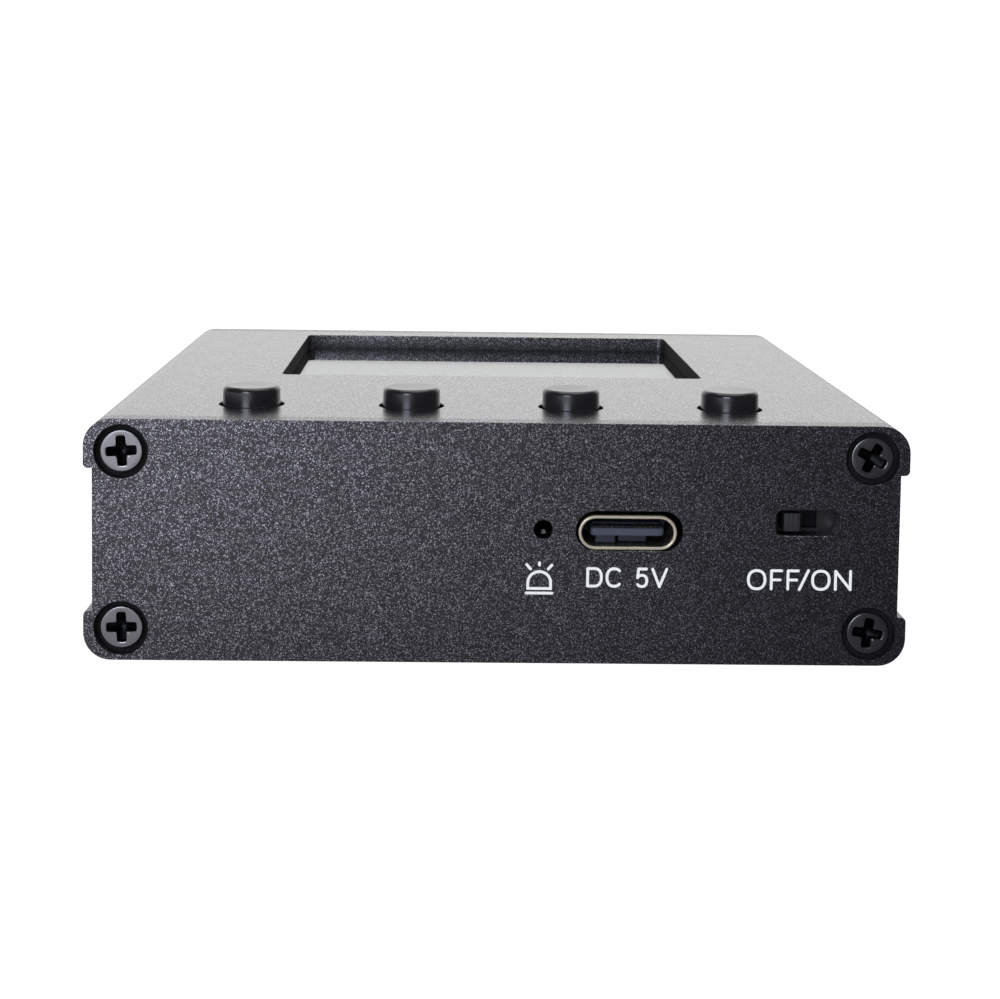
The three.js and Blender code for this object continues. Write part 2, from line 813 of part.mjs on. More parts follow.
function keyHousing() {
  const top = keyHeight - key.plate;
  const floor = top - plunger.flangeThickness - key.travel - 2 * gap.head;
  return cut(
    alongZ(cutSquare(key.side, key.chamfer), 0, top),
    barZ(key.well / 2, floor, top + overrun),
  );
}

function keyPlate() {
  const low = keyHeight - key.plate;
  return cut(
    alongZ(cutSquare(key.side, key.chamfer), low, keyHeight),
    barZ(plunger.diameter / 2 + gap.slide, low - overrun, keyHeight + overrun),
  );
}

function keyPlunger() {
  const top = keyHeight - key.plate - gap.head;
  const low = top - plunger.flangeThickness;
  return turnedZ(
    [
      [0, low],
      [plunger.flange / 2, low],
      [plunger.flange / 2, top],
      [plunger.diameter / 2, top],
      [plunger.diameter / 2, plunger.top],
      [0, plunger.top],
    ],
  );
}

function keyCap() {
  const top = shell.height + cap.stand - displayBoardTop;
  const flangeTop = ceiling - gap.seat - displayBoardTop;
  const flangeLow = flangeTop - cap.flangeThickness;
  const foot = cap.diameter / 2;
  const crown = foot - cap.taper;
  const bore = plunger.diameter / 2 + gap.slide;
  const seat = plunger.top + gap.seat;
  return turnedZ(
    [
      [0, seat],
      [bore, seat],
      [bore, flangeLow],
      [keyRow.hole / 2 + cap.rim / 2, flangeLow],
      [keyRow.hole / 2 + cap.rim / 2, flangeTop],
      [foot, flangeTop],
      ...round(crown - cap.fillet, top - cap.fillet, cap.fillet, 0, Math.PI / 2, 3),
      [crown - 2 * cap.fillet, top - cap.dish / 2],
      [0, top - cap.dish],
    ],
    24,
  );
}

// Board to board connector: a socket on the main board and a pin strip under the display board
function boardConnector() {
  const place = group(headerX, faceY + header.fromFace, 0);
  const w = (header.pins * header.pitch) / 2;
  const d = header.depth / 2;
  const socketTop = mainBoardTop + socket.height;
  const stripLow = socketTop + gap.seat;
  const pinLow = socketTop - socket.pinReach;
  const pins = [];
  const holes = [];
  for (let i = 0; i < header.pins; i++) {
    for (let j = 0; j < header.rows; j++) {
      const x = (i - (header.pins - 1) / 2) * header.pitch;
      const y = (j - (header.rows - 1) / 2) * header.pitch;
      const p = header.pin / 2;
      const h = socket.hole / 2;
      pins.push(block(x - p, x + p, y - p, y + p, pinLow, displayBoardBottom - gap.seat));
      holes.push(block(x - h, x + h, y - h, y + h, mainBoardTop + gap.seat, socketTop + overrun));
    }
  }
  const lower = block(-w, w, -d, d, mainBoardTop, socketTop);
  const upper = block(-w, w, -d, d, stripLow, displayBoardBottom);
  piece(place, "board_socket", cut(lower, ...holes), "blackPlastic");
  piece(place, "board_header", join(upper, ...pins), "blackPlastic");
}

// Radio section: a screening can with its lid, the synthesiser and its reference inside
function radioSection() {
  const rear = mainBoardRear - shield.fromRear;
  const place = group(0, rear - shield.length / 2, mainBoardTop);
  const w = shield.width / 2;
  const l = shield.length / 2;
  const t = shield.sheet;
  const frame = cut(
    block(-w, w, -l, l, 0, shield.height),
    block(-w + t, w - t, -l + t, l - t, -overrun, shield.height + overrun),
    block(-contact.diameter, contact.diameter, l - 2 * t, l + overrun, -overrun, contact.diameter),
  );
  piece(place, "shield_frame", frame, "steel");

  const c = gap.head;
  const lidTop = shield.height + c + t;
  const vents = [];
  for (let i = 0; i < shield.vents; i++) {
    const x = (i - (shield.vents - 1) / 2) * (shield.width / shield.vents);
    vents.push(barZ(shield.vent / 2, lidTop - t - overrun, lidTop + overrun, x, -l / 2, 8));
    vents.push(barZ(shield.vent / 2, lidTop - t - overrun, lidTop + overrun, x, l / 2, 8));
  }
  const lid = cut(
    block(-w - c - t, w + c + t, -l - c - t, l + c + t, lidTop - shield.lip, lidTop),
    block(-w - c, w + c, -l - c, l + c, lidTop - shield.lip - overrun, lidTop - t),
    ...vents,
  );
  piece(place, "shield_lid", lid, "steel");

  const chipPlace = group(synth.x, mainBoardRear - synth.fromRear, mainBoardTop);
  const chip = alongZ(cutSquare(synth.side, synth.chamfer), 0, synth.height);
  piece(chipPlace, "synthesiser_chip", chip, "chip");

  const clockPlace = group(oscillator.x, mainBoardRear - oscillator.fromRear, mainBoardTop);
  const ow = oscillator.width / 2;
  const ol = oscillator.length / 2;
  const clock = join(
    block(-ow, ow, -ol, ol, 0, oscillator.height - oscillator.lid),
    block(
      -ow + oscillator.lid,
      ow - oscillator.lid,
      -ol + oscillator.lid,
      ol - oscillator.lid,
      0,
      oscillator.height,
    ),
  );
  piece(clockPlace, "reference_oscillator", clock, "steel");
}

// Processor and power parts in the open on the main board
function openParts() {
  const mcu = group(processorX, faceY + processor.fromFace, mainBoardTop);
  const body = alongZ(cutSquare(processor.side, processor.chamfer), 0, processor.height);
  piece(mcu, "processor_chip", body, "chip");

  const place = group(chargerX, faceY + charger.fromFace, mainBoardTop);
  const w = charger.width / 2;
  const l = charger.length / 2;
  const legs = [];
  for (let i = 0; i < charger.legs; i++) {
    const y = ((i - (charger.legs - 1) / 2) * charger.length) / charger.legs;
    const half = charger.leg / 2;
    const t = charger.legThickness;
    for (const side of [-1, 1]) {
      const far = side * (w + charger.legReach);
      const mid = side * (w + charger.legReach / 2);
      const near = side * (w - charger.legReach / 2);
      legs.push(block(Math.min(far, mid), Math.max(far, mid), y - half, y + half, 0, t));
      const inner = Math.min(mid, near) - (side < 0 ? t : 0);
      const outer = Math.max(mid, near) + (side > 0 ? t : 0);
      const high = charger.height / 2;
      legs.push(block(inner, outer, y - half, y + half, high - t, high));
      const rise = side > 0 ? mid : mid - t;
      legs.push(block(rise, rise + t, y - half, y + half, 0, high));
    }
  }
  const bodyShape = block(-w, w, -l, l, charger.legThickness, charger.height);
  piece(place, "charger_chip", join(bodyShape, ...legs), "chip");

  const coilPlace = group(halfWidth - coil.fromSide, faceY + coil.fromFace, mainBoardTop);
  piece(coilPlace, "power_inductor", alongZ(cutSquare(coil.side, coil.chamfer), 0, coil.height), "chip");
}

// SMA jack: body with board legs, dielectric, centre contact, toothed washer and nut
function outputJack() {
  const place = group(0, mainBoardRear, smaAxis);
  const f = sma.flange / 2;
  const end = -insideY + plate.thickness + sma.outside - mainBoardRear;
  const r = sma.barrel / 2;
  const barrel = turned(
    [
      [0, 0],
      [r, 0],
      [r, end - sma.chamfer],
      [r - sma.chamfer, end],
      [0, end],
    ],
    sides.round,
  );
  const legs = [];
  const half = sma.leg / 2;
  for (const side of [-1, 1]) {
    const x = (side * sma.legSpacing) / 2;
    const above = mainBoardTop + gap.solder - smaAxis;
    const below = mainBoardBottom - gap.solder - smaAxis;
    const y = sma.flangeThickness / 2;
    legs.push(block(x - half, x + half, -sma.legLength, y, above, above + sma.leg));
    legs.push(block(x - half, x + half, -sma.legLength, y, below - sma.leg, below));
  }
  const tube = dielectric.diameter / 2 + gap.slide;
  const made = cut(
    join(block(-f, f, 0, sma.flangeThickness, -f, f), barrel, ...legs),
    barY(sma.bore / 2, end - sma.mouthDepth, end + overrun),
    barY(tube, -overrun, end - sma.mouthDepth + overrun),
  );
  piece(place, "sma_body", made, "gold");

  const hole = contact.diameter / 2 + gap.slide;
  const plane = end - sma.mouthDepth;
  const filler = cut(
    barY(dielectric.diameter / 2, 0, plane),
    barY(hole, -overrun, plane + overrun, 0, 0, 12),
  );
  piece(place, "sma_dielectric", filler, "ptfe");

  const a = contact.diameter / 2;
  const b = contact.bore / 2;
  const pin = turned(
    [
      [0, -contact.tailReach],
      [contact.tail / 2, -contact.tailReach],
      [contact.tail / 2, contact.flare],
      [a, contact.flare + a - contact.tail / 2],
      [a, plane - contact.flare],
      [a - contact.flare / 2, plane],
      [b, plane],
      [b, plane - contact.boreDepth],
      [0, plane - contact.boreDepth - b / 2],
    ],
    12,
  );
  const slit = contact.slit / 2;
  const slits = [
    block(-slit, slit, plane - contact.boreDepth, plane + overrun, -a - overrun, a + overrun),
    block(-a - overrun, a + overrun, plane - contact.boreDepth, plane + overrun, -slit, slit),
  ];
  piece(place, "sma_contact", cut(pin, ...slits), "gold");

  const washerPlace = group(0, overallLength / 2, smaAxis);
  piece(washerPlace, "sma_washer", toothedWasher(), "steel");
  const nutPlace = group(0, overallLength / 2 + washer.thickness, smaAxis);
  piece(nutPlace, "sma_nut", hexNut(), "gold");
}

// Lock washer with inward teeth, standing on the plate
function toothedWasher() {
  const inner = sma.barrel / 2 + gap.slide;
  const outline = new THREE.Shape();
  outline.absarc(0, 0, washer.diameter / 2, 0, 2 * Math.PI);
  const hole = new THREE.Path();
  const steps = washer.teeth * 2;
  for (let i = 0; i < steps; i++) {
    const radius = i % 2 ? inner : inner + washer.tooth;
    const from = (2 * Math.PI * i) / steps;
    const to = (2 * Math.PI * (i + 1)) / steps;
    const first = [radius * Math.cos(from), radius * Math.sin(from)];
    if (i) hole.lineTo(...first);
    else hole.moveTo(...first);
    hole.lineTo(radius * Math.cos(to), radius * Math.sin(to));
  }
  hole.closePath();
  outline.holes.push(hole);
  return alongY(outline, 0, washer.thickness, 16);
}

// Hexagon nut with chamfered corners
function hexNut() {
  const flat = nut.acrossFlats / 2;
  const radius = flat / Math.cos(Math.PI / nut.sides);
  const prism = barY(radius, 0, nut.thickness, 0, 0, nut.sides);
  const lens = turned(
    [
      [0, 0],
      [flat, 0],
      [radius, nut.chamfer],
      [radius, nut.thickness - nut.chamfer],
      [flat, nut.thickness],
      [0, nut.thickness],
    ],
    24,
  );
  const hole = barY(sma.barrel / 2 + gap.slide, -overrun, nut.thickness + overrun, 0, 0, sides.round);
  return cut(common(prism, lens), hole);
}

// Pouch cell on its foam pad, with the sealed terrace that holds the protection strip
function battery() {
  const low = shell.wall + pad.thickness;
  const y = faceY + cell.fromFace;
  const place = group(cellX, y, low);
  const edge = cell.edgeShare * cellThickness;
  const profile = roundedRectangle(cell.width, cellThickness, edge, 0, cellThickness / 2);
  const end = cellLength / 2;
  const strip = block(
    end - overrun,
    end + cell.terrace,
    -cell.width / 2 + edge,
    cell.width / 2 - edge,
    (cellThickness * (1 - cell.terraceShare)) / 2,
    (cellThickness * (1 + cell.terraceShare)) / 2,
  );
  piece(place, "battery_cell", join(alongX(profile, -end, end, 3), strip), "foil");
  const padShape = block(-pad.length / 2, pad.length / 2, -pad.width / 2, pad.width / 2, 0, pad.thickness);
  const under = piece(place, "battery_pad", padShape, "foam");
  under.position.z = -pad.thickness;
}

// Battery inlet under the main board, its plug, and the two leads from the cell
function batteryLeads() {
  const y0 = faceY + inlet.fromFace;
  const place = group(inletX, y0, mainBoardBottom);
  const w = inlet.width / 2;
  const t = inlet.wall;
  const mid = -inlet.height / 2;
  const pins = [-1, 1].map((side) => {
    const x = (side * plug.pitch) / 2;
    const p = inlet.pin / 2;
    const tip = inlet.depth / 3;
    return block(x - p, x + p, tip, inlet.depth - inlet.floor / 2, mid - p, mid + p);
  });
  const shellShape = cut(
    block(-w, w, 0, inlet.depth, -inlet.height, 0),
    block(-w + t, w - t, -overrun, inlet.depth - inlet.floor, -inlet.height + t, -t),
  );
  piece(place, "battery_inlet", join(shellShape, ...pins), "palePlastic");

  const pw = w - t - gap.slide;
  const ph = inlet.height / 2 - t - gap.slide;
  const nose = inlet.depth - inlet.floor - gap.seat;
  const bores = [-1, 1].map((side) => {
    const x = (side * plug.pitch) / 2;
    return barY(plug.bore / 2, -plug.out - overrun, nose + overrun, x, mid, 10);
  });
  const plugShape = cut(block(-pw, pw, -plug.out, nose, mid - ph, mid + ph), ...bores);
  piece(place, "battery_plug", plugShape, "palePlastic");

  leadTo(-1, "red_lead", "redLead");
  leadTo(1, "black_lead", "blackLead");
}

// One lead: out of the cell's end, round a smooth bend, and into the plug
function leadTo(side, name, finish) {
  const startX = cellX + cellLength / 2 + cell.terrace + gap.seat;
  const endX = inletX + (side * plug.pitch) / 2;
  const endY = faceY + inlet.fromFace - plug.out + lead.into;
  const startY = faceY + lead.fromFace - (side * plug.pitch) / 2;
  const startZ = shell.wall + pad.thickness + cellThickness / 2;
  const endZ = mainBoardBottom - inlet.height / 2;
  const reach = endX - startX;
  const run = endY - startY;
  const path = new THREE.CubicBezierCurve3(
    new THREE.Vector3(startX, startY, startZ),
    new THREE.Vector3(startX + reach, startY, startZ),
    new THREE.Vector3(endX, endY - run * lead.straightShare, endZ),
    new THREE.Vector3(endX, endY, endZ),
  );
  const section = polygon(round(0, 0, lead.diameter / 2, 0, 2 * Math.PI, lead.sides).slice(0, -1));
  const wire = new THREE.ExtrudeGeometry(section, { steps: lead.steps, extrudePath: path });
  piece(generator, name, wire, finish);
}

piece(generator, "case_shell", caseShell(), "anodised");
portEnd();
rfEnd();
piece(generator, "main_board", mainBoard(), "laminate");
piece(
  generator,
  "display_board",
  block(-boardHalfWidth, boardHalfWidth, boardFront, -boardFront, displayBoardBottom, displayBoardTop),
  "laminate",
);
usbReceptacle();
chargeLamp();
slideSwitch();
display();
keys();
boardConnector();
radioSection();
openParts();
outputJack();
battery();
batteryLeads();

export default generator;
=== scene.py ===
# Pocket signal generator: fine surfaces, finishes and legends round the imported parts, with the
# studio and the camera.
import math

import bmesh
import bpy
import numpy as np
from mathutils import Matrix, Vector


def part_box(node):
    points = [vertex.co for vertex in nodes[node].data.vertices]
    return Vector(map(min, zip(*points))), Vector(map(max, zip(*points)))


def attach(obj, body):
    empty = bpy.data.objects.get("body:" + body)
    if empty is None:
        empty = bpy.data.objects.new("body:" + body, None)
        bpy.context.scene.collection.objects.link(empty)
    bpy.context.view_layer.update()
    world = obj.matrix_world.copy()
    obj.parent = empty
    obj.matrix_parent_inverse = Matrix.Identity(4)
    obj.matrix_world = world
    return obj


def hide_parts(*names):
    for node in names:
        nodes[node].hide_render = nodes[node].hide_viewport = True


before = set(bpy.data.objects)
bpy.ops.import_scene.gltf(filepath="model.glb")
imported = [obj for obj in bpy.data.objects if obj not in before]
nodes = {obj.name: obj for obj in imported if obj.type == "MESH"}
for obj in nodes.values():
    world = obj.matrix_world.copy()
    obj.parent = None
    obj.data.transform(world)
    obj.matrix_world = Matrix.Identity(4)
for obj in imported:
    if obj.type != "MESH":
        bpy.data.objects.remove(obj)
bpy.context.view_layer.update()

bl_info = {
    "name": "Pocket signal generator",
    "version": (1, 0, 0),
    "blender": (4, 5, 0),
    "location": "3D View > Sidebar > Generator",
    "description": "Builds the visible pieces of a pocket signal generator round its packed parts",
    "category": "Object",
}

MM = 0.001
OVER = 1 * MM  # how far a cutting tool stands out of what it cuts


def box_of(node):
    """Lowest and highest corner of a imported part, as arrays in metres."""
    low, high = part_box(node)
    return np.array(low), np.array(high)


def middle_of(node):
    """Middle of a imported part's box."""
    return sum(box_of(node)) / 2


# Sizes and colours that a user would change
def length(name, millimetres, description):
    return bpy.props.FloatProperty(
        name=name, description=description, default=millimetres * MM, precision=5, unit="LENGTH"
    )


def share(name, default, description):
    return bpy.props.FloatProperty(
        name=name, description=description, default=default, min=0, max=1, subtype="FACTOR"
    )


def colour(name, default, description):
    return bpy.props.FloatVectorProperty(
        name=name, description=description, default=default, size=3, min=0, max=1, subtype="COLOR"
    )


class CaseSettings(bpy.types.PropertyGroup):
    corner_radius: length("Corner radius", 2.5, "Outer radius of the four long corners")
    wall: length("Wall", 1.6, "Thickness of the extrusion's walls")
    ear_height: length("Ear height", 4.5, "Height of the ears along the top and bottom of each side")
    ear_step: length("Ear step", 0.8, "Depth of the channel between the ears")
    ear_radius: length("Ear radius", 0.45, "Rounding of each ear towards the channel")
    port_bore: length("Port bore", 2.2, "Bore of the screw ports")
    port_wall: length("Port wall", 0.95, "Wall round each screw port")
    port_mouth: length("Port mouth", 1.1, "Opening of each screw port towards the cavity")
    rib_reach: length("Rib reach", 1.4, "How far the board ribs stand out of the side walls")
    rib_height: length("Rib height", 1, "Thickness of the board ribs")
    rib_play: length("Rib play", 0.15, "Clearance between a board and its ribs")
    edge_break: length("Edge break", 0.05, "Broken edge of the milled holes")
    plate_edge: length("Plate edge", 0.08, "Rounded edge of the end plates")
    key_hole: length("Key hole", 6.2, "Diameter of the holes that the keys come through")
    opening_radius: length("Opening radius", 0.8, "Corner radius of the display opening")
    opening_margin: length("Opening margin", 2, "How far the window reaches under the wall")
    countersink: length("Countersink", 4.9, "Diameter of the bores that the screw heads sit in")
    relief: length("Relief", 1.1, "Depth of the straight part of those bores")
    clearance: length("Clearance hole", 2.3, "Diameter of the screw holes in the plates")
    colour: colour("Anodising", (0.006, 0.006, 0.0085), "Colour of the black anodised aluminium")
    speck_colour: colour("Glint", (0.85, 0.84, 0.92), "Colour of the brightest blasted facets")
    roughness: share("Roughness", 0.27, "Roughness of the blasted surface")
    grain: length("Grain", 0.08, "Size of the blasted grain")


class ScrewSettings(bpy.types.PropertyGroup):
    head: length("Head", 3.8, "Diameter of the head")
    rim: length("Rim", 0.15, "Height of the straight rim of the head")
    edge: length("Edge", 0.1, "Rounding of the head's edge")
    shank: length("Shank", 1.9, "Outer diameter of the thread")
    pitch: length("Pitch", 0.4, "Pitch of the thread")
    thread: length("Thread", 0.13, "Depth of the thread")
    span: length("Recess span", 2.75, "Width across the arms of the cross recess")
    arm: length("Recess arm", 0.86, "Width of each arm")
    depth: length("Recess depth", 1.25, "Depth of the recess at its middle")
    tip: length("Recess tip", 0.5, "Width of the recess's floor")
    lip: length("Recess lip", 0.05, "Rounding of the recess's upper edge")
    turns: bpy.props.FloatVectorProperty(
        name="Turns",
        description="How far each recess happens to be turned",
        default=[math.radians(turn) for turn in (4, -28, -8, 1.5)],
        size=4,
        unit="ROTATION",
    )
    colour: colour("Colour", (0.42, 0.42, 0.42), "Black zinc of the screws")


class KeySettings(bpy.types.PropertyGroup):
    diameter: length("Cap diameter", 5.56, "Diameter of the cap at its foot")
    taper: length("Taper", 0.08, "How much smaller the radius is at the top")
    fillet: length("Fillet", 0.45, "Rounded edge of the cap's top")
    rise: length("Rise", 0.16, "How far the cap's top stands over the packed part")
    dish: length("Dish", 0.02, "Hollow of the cap's top")
    flange: length("Flange", 0.6, "Thickness of the flange under the wall")
    bevel: length("Bevel", 0.08, "Bevel of the flange's edges")
    ease: length("Ease", 0.25, "Hollow rounding between the flange and the cap")
    bore: length("Bore", 3.5, "Bore that takes the plunger")
    roof: length("Roof", 2.42, "Height of the cap's solid top over its bore")
    colour: colour("Colour", (0.012, 0.012, 0.014), "Colour of the caps")
    roughness: share("Roughness", 0.28, "Roughness of the caps")


class PortSettings(bpy.types.PropertyGroup):
    usb_width: length("USB width", 8.94, "Outer width of the USB shell")
    usb_height: length("USB height", 3.16, "Outer height of the USB shell")
    usb_wall: length("USB wall", 0.3, "Wall of the USB shell")
    seam: length("Seam", 0.05, "Width of the shell's seam")
    seam_depth: length("Seam depth", 0.1, "How far the seam is set back")
    tab: length("Tab", 0.9, "Width of the shell's tabs in the board")
    tongue_width: length("Tongue width", 6.69, "Width of the tongue")
    tongue_thickness: length("Tongue thickness", 0.7, "Thickness of the tongue")
    contact_pitch: length("Contact pitch", 0.5, "Distance between two contacts")
    contact_width: length("Contact width", 0.26, "Width of a contact")
    contact_length: length("Contact length", 1.1, "Length of a contact")
    contact_height: length("Contact height", 0.03, "How far a contact stands out of the tongue")
    usb_slot_width: length("USB slot width", 9.7, "Width of the slot in the plate")
    usb_slot_height: length("USB slot height", 3.64, "Height of the slot in the plate")
    usb_slot_right: length("USB slot right", 0.15, "How far the slot sits right of the receptacle")
    usb_slot_up: length("USB slot up", 0.2, "How far the slot sits above the receptacle")
    lamp_hole: length("Lamp hole", 1.7, "Diameter of the lamp hole")
    lamp_hole_up: length("Lamp hole up", 1.85, "Height of the lamp hole over the board")
    lamp_dome: length("Lamp dome", 0.66, "Diameter of the lamp's dome")
    lamp_right: length("Lamp right", 0.2, "How far the dome sits right of the lamp's middle")
    lamp_rise: length("Lamp rise", 0.3, "How far the dome stands over the packed part")
    switch_slot_width: length("Switch slot width", 5.85, "Width of the switch slot")
    switch_slot_height: length("Switch slot height", 2.33, "Height of the switch slot")
    switch_slot_radius: length("Switch slot radius", 0.7, "Corner radius of the switch slot")
    switch_slot_right: length("Switch slot right", 0.5, "How far the slot sits right of the switch")
    lever_width: length("Lever width", 1.5, "Width of the switch's lever")
    lever_height: length("Lever height", 1.7, "Height of the switch's lever")
    lever_groove: length("Lever groove", 0.05, "Depth of the grooves across the lever's end")
    carriage_depth: length("Carriage depth", 1.4, "Depth of the carriage behind the lever")
    steel: colour("Steel", (0.88, 0.85, 0.8), "Colour of the bright steel")
    plating: colour("Plating", (0.95, 0.84, 0.66), "Colour of the receptacle's satin plating")


class OutputSettings(bpy.types.PropertyGroup):
    barrel: length("Barrel", 6.3, "Outer diameter of the jack's thread")
    pitch: length("Pitch", 0.7056, "Pitch of the jack's thread")
    thread: length("Thread", 0.38, "Depth of the jack's thread")
    bore: length("Bore", 4.6, "Diameter of the jack's mouth")
    tube: length("Tube", 4.4, "Diameter of the bore round the dielectric")
    mouth: length("Mouth", 1.9, "Depth of the jack's mouth")
    chamfer: length("Chamfer", 0.4, "Chamfer of the jack's end")
    flange: length("Flange", 1.7, "Thickness of the jack's flange")
    leg: length("Leg", 1, "Width of the legs that hold the board")
    hole: length("Hole", 6.6, "Diameter of the hole in the plate")
    gold: colour("Gold", (0.80, 0.55, 0.22), "Colour of the gold plating")


class BatterySettings(bpy.types.PropertyGroup):
    rounding: length("Rounding", 1.6, "Rounding of the pouch cell's long edges")
    end_rounding: length("End rounding", 1.2, "Rounding of the pouch cell's ends")
    terrace: length("Terrace", 4, "Length of the sealed terrace that the leads come out of")
    terrace_height: length("Terrace height", 2.6, "Thickness of the terrace")
    pad_corner: length("Pad corner", 1, "Corner radius of the foam pad")
    lead: length("Lead", 0.85, "Outer diameter of each lead")
    bend: share("Bend", 0.6, "Share of the way over which each lead runs straight to its plug")


class LegendSettings(bpy.types.PropertyGroup):
    stroke: length("Stroke", 0.25, "Width of the legend's strokes")
    proud: length("Proud", 0.012, "Height of the ink over the plate")
    colour: colour("Ink", (0.74, 0.75, 0.77), "Colour of the ink")


class StageSettings(bpy.types.PropertyGroup):
    floor_size: bpy.props.FloatProperty(
        name="Floor", description="Width of the floor", default=6, unit="LENGTH"
    )
    floor_colour: colour("Floor colour", (0.9, 0.9, 0.9), "Colour of the floor")
    sky: share("Sky", 0.95, "Strength of the studio's even light")
    key_power: bpy.props.FloatProperty(
        name="Key lamp", description="Power of the lamp at the front left", default=0.7, unit="POWER"
    )
    fill_power: bpy.props.FloatProperty(
        name="Fill lamp", description="Power of the lamp overhead", default=1.6, unit="POWER"
    )


SETTINGS = {
    "generator_case": CaseSettings,
    "generator_screws": ScrewSettings,
    "generator_keys": KeySettings,
    "generator_ports": PortSettings,
    "generator_output": OutputSettings,
    "generator_battery": BatterySettings,
    "generator_legends": LegendSettings,
    "generator_stage": StageSettings,
}


# Outlines and shells. An outline is an array of points in a plane, a shell is a pair of an array
# of points in space and a list of faces.
def full_turn(columns):
    """Evenly spaced angles round a circle."""
    return np.linspace(0, 2 * math.pi, columns, endpoint=False)


def round_corners(corners, radii, steps=8):
    """Outline of a polygon whose corners are arcs. An arc of radius r touches both sides at
    r / tan(half the angle between them) from the corner, and its points step evenly round."""
    corners = np.asarray(corners, float)
    outline = []
    befores, afters = np.roll(corners, 1, 0), np.roll(corners, -1, 0)
    for corner, before, after, radius in zip(corners, befores, afters, np.broadcast_to(radii, len(corners))):
        if not radius:
            outline.append(corner[None])
            continue
        back = (before - corner) / np.linalg.norm(before - corner)
        on = (after - corner) / np.linalg.norm(after - corner)
        half = math.acos(np.clip(back @ on, -1, 1)) / 2
        centre = corner + (back + on) / np.linalg.norm(back + on) * radius / math.sin(half)
        first = corner + back * radius / math.tan(half) - centre
        last = corner + on * radius / math.tan(half) - centre
        start = math.atan2(first[1], first[0])
        sweep = (math.atan2(last[1], last[0]) - start + math.pi) % (2 * math.pi) - math.pi
        angle = start + sweep * np.linspace(0, 1, steps + 1)
        outline.append(centre + radius * np.stack([np.cos(angle), np.sin(angle)], 1))
    return np.concatenate(outline)


def rectangle(width, height, radius, x=0.0, y=0.0, steps=8):
    """Rectangle about (x, y) with arcs at its corners, anticlockwise."""
    w, h = width / 2, height / 2
    corners = [(x - w, y - h), (x + w, y - h), (x + w, y + h), (x - w, y + h)]
    return round_corners(corners, min(radius, 0.999 * min(w, h)), steps)


def arc(cx, cy, radius, start, end, steps=6):
    """Points of an arc, with its angles in degrees."""
    angle = np.radians(np.linspace(start, end, steps + 1))
    return np.stack([cx + radius * np.cos(angle), cy + radius * np.sin(angle)], 1)


def circle(radius, x=0.0, y=0.0, columns=64):
    """Points of a circle about (x, y), evenly spaced."""
    return arc(x, y, radius, 0, 360, columns)[:-1]


def grow(outline, distance):
    """Anticlockwise outline moved outwards: each point goes along the sum of its two sides'
    normals, divided by one plus their product, times the distance."""
    sides = np.roll(outline, -1, 0) - outline
    sides = sides / np.linalg.norm(sides, axis=1, keepdims=True)
    after = np.stack([sides[:, 1], -sides[:, 0]], 1)
    before = np.roll(after, 1, 0)
    return outline + distance * (before + after) / (1 + (before * after).sum(1, keepdims=True))


def grid_faces(rows, columns, closed_rows=False):
    """Four-sided faces between neighbouring rows and columns of a grid of points, whose columns
    close into a ring."""
    row, column = np.meshgrid(np.arange(rows - (not closed_rows)), np.arange(columns), indexing="ij")
    row, column = row.ravel(), column.ravel()
    here, above = row * columns, (row + 1) % rows * columns
    beside = (column + 1) % columns
    return np.stack([here + column, here + beside, above + beside, above + column], 1).tolist()


def stack_shell(loops, closed=False):
    """Shell through closed loops of equal count, with flat ends, or closed into a ring."""
    loops = np.asarray(loops)
    rows, columns = loops.shape[:2]
    faces = grid_faces(rows, columns, closed)
    if not closed:
        faces += [list(range(columns)), list(range((rows - 1) * columns, rows * columns))]
    return loops.reshape(-1, 3), faces


def along(axis, outline, height):
    """Loop in space: the outline in the plane across the axis, at one height on it or at one for
    each point. Across Y it lies in X and Z, across Z in X and Y, across X in Y and Z."""
    third = np.full(len(outline), height)
    a, b = outline[:, 0], outline[:, 1]
    return np.stack({"X": (third, a, b), "Y": (a, third, b), "Z": (a, b, third)}[axis], 1)


def prism(axis, outline, low, high, low_edge=0.0, high_edge=0.0, steps=3):
    """Outline carried from low to high. Each end's edge is a quarter round: at angle t the loop
    shrinks by edge * (1 - sin t) and lies edge * (1 - cos t) inside the end."""

    def rounded(end, edge, way):
        turn = np.linspace(0, math.pi / 2, steps + 1) if edge else [0]
        return [
            along(axis, grow(outline, -edge * (1 - math.sin(t))), end + way * edge * (1 - math.cos(t)))
            for t in turn
        ]

    return stack_shell(rounded(low, low_edge, 1) + rounded(high, high_edge, -1)[::-1])


def bar(axis, size, radius, middle, low, high, low_edge=0.0, high_edge=0.0, corner=3, steps=3):
    """Rectangle of a size with rounded corners, carried from low to high."""
    return prism(axis, rectangle(*size, radius, *middle, corner), low, high, low_edge, high_edge, steps)


def flared_cutter(axis, outline, face, depth, flare):
    """Tool for a hole with a broken edge: straight over the depth, and wider by the flare at the
    face. A negative depth cuts towards smaller values."""
    way = 1 if depth > 0 else -1
    heights = [face - way * OVER, face, face + way * flare, face + depth]
    growth = [flare + OVER, flare, 0, 0]
    return stack_shell([along(axis, grow(outline, g), h) for g, h in zip(growth, heights)])


def revolve(axis, profile, centre, columns=64):
    """Profile of (radius, height) points turned about an axis through the centre. It starts and
    ends at radius 0, where the shell closes."""
    profile = np.asarray(profile, float)
    turn = full_turn(columns)
    a, b = profile[:, :1] * np.cos(turn), profile[:, :1] * np.sin(turn)
    h = np.repeat(profile[:, 1:], columns, 1)
    points = np.stack({"Y": (a, h, b), "Z": (a, b, h)}[axis], 2).reshape(-1, 3) + np.asarray(centre)
    return points, grid_faces(len(profile), columns)


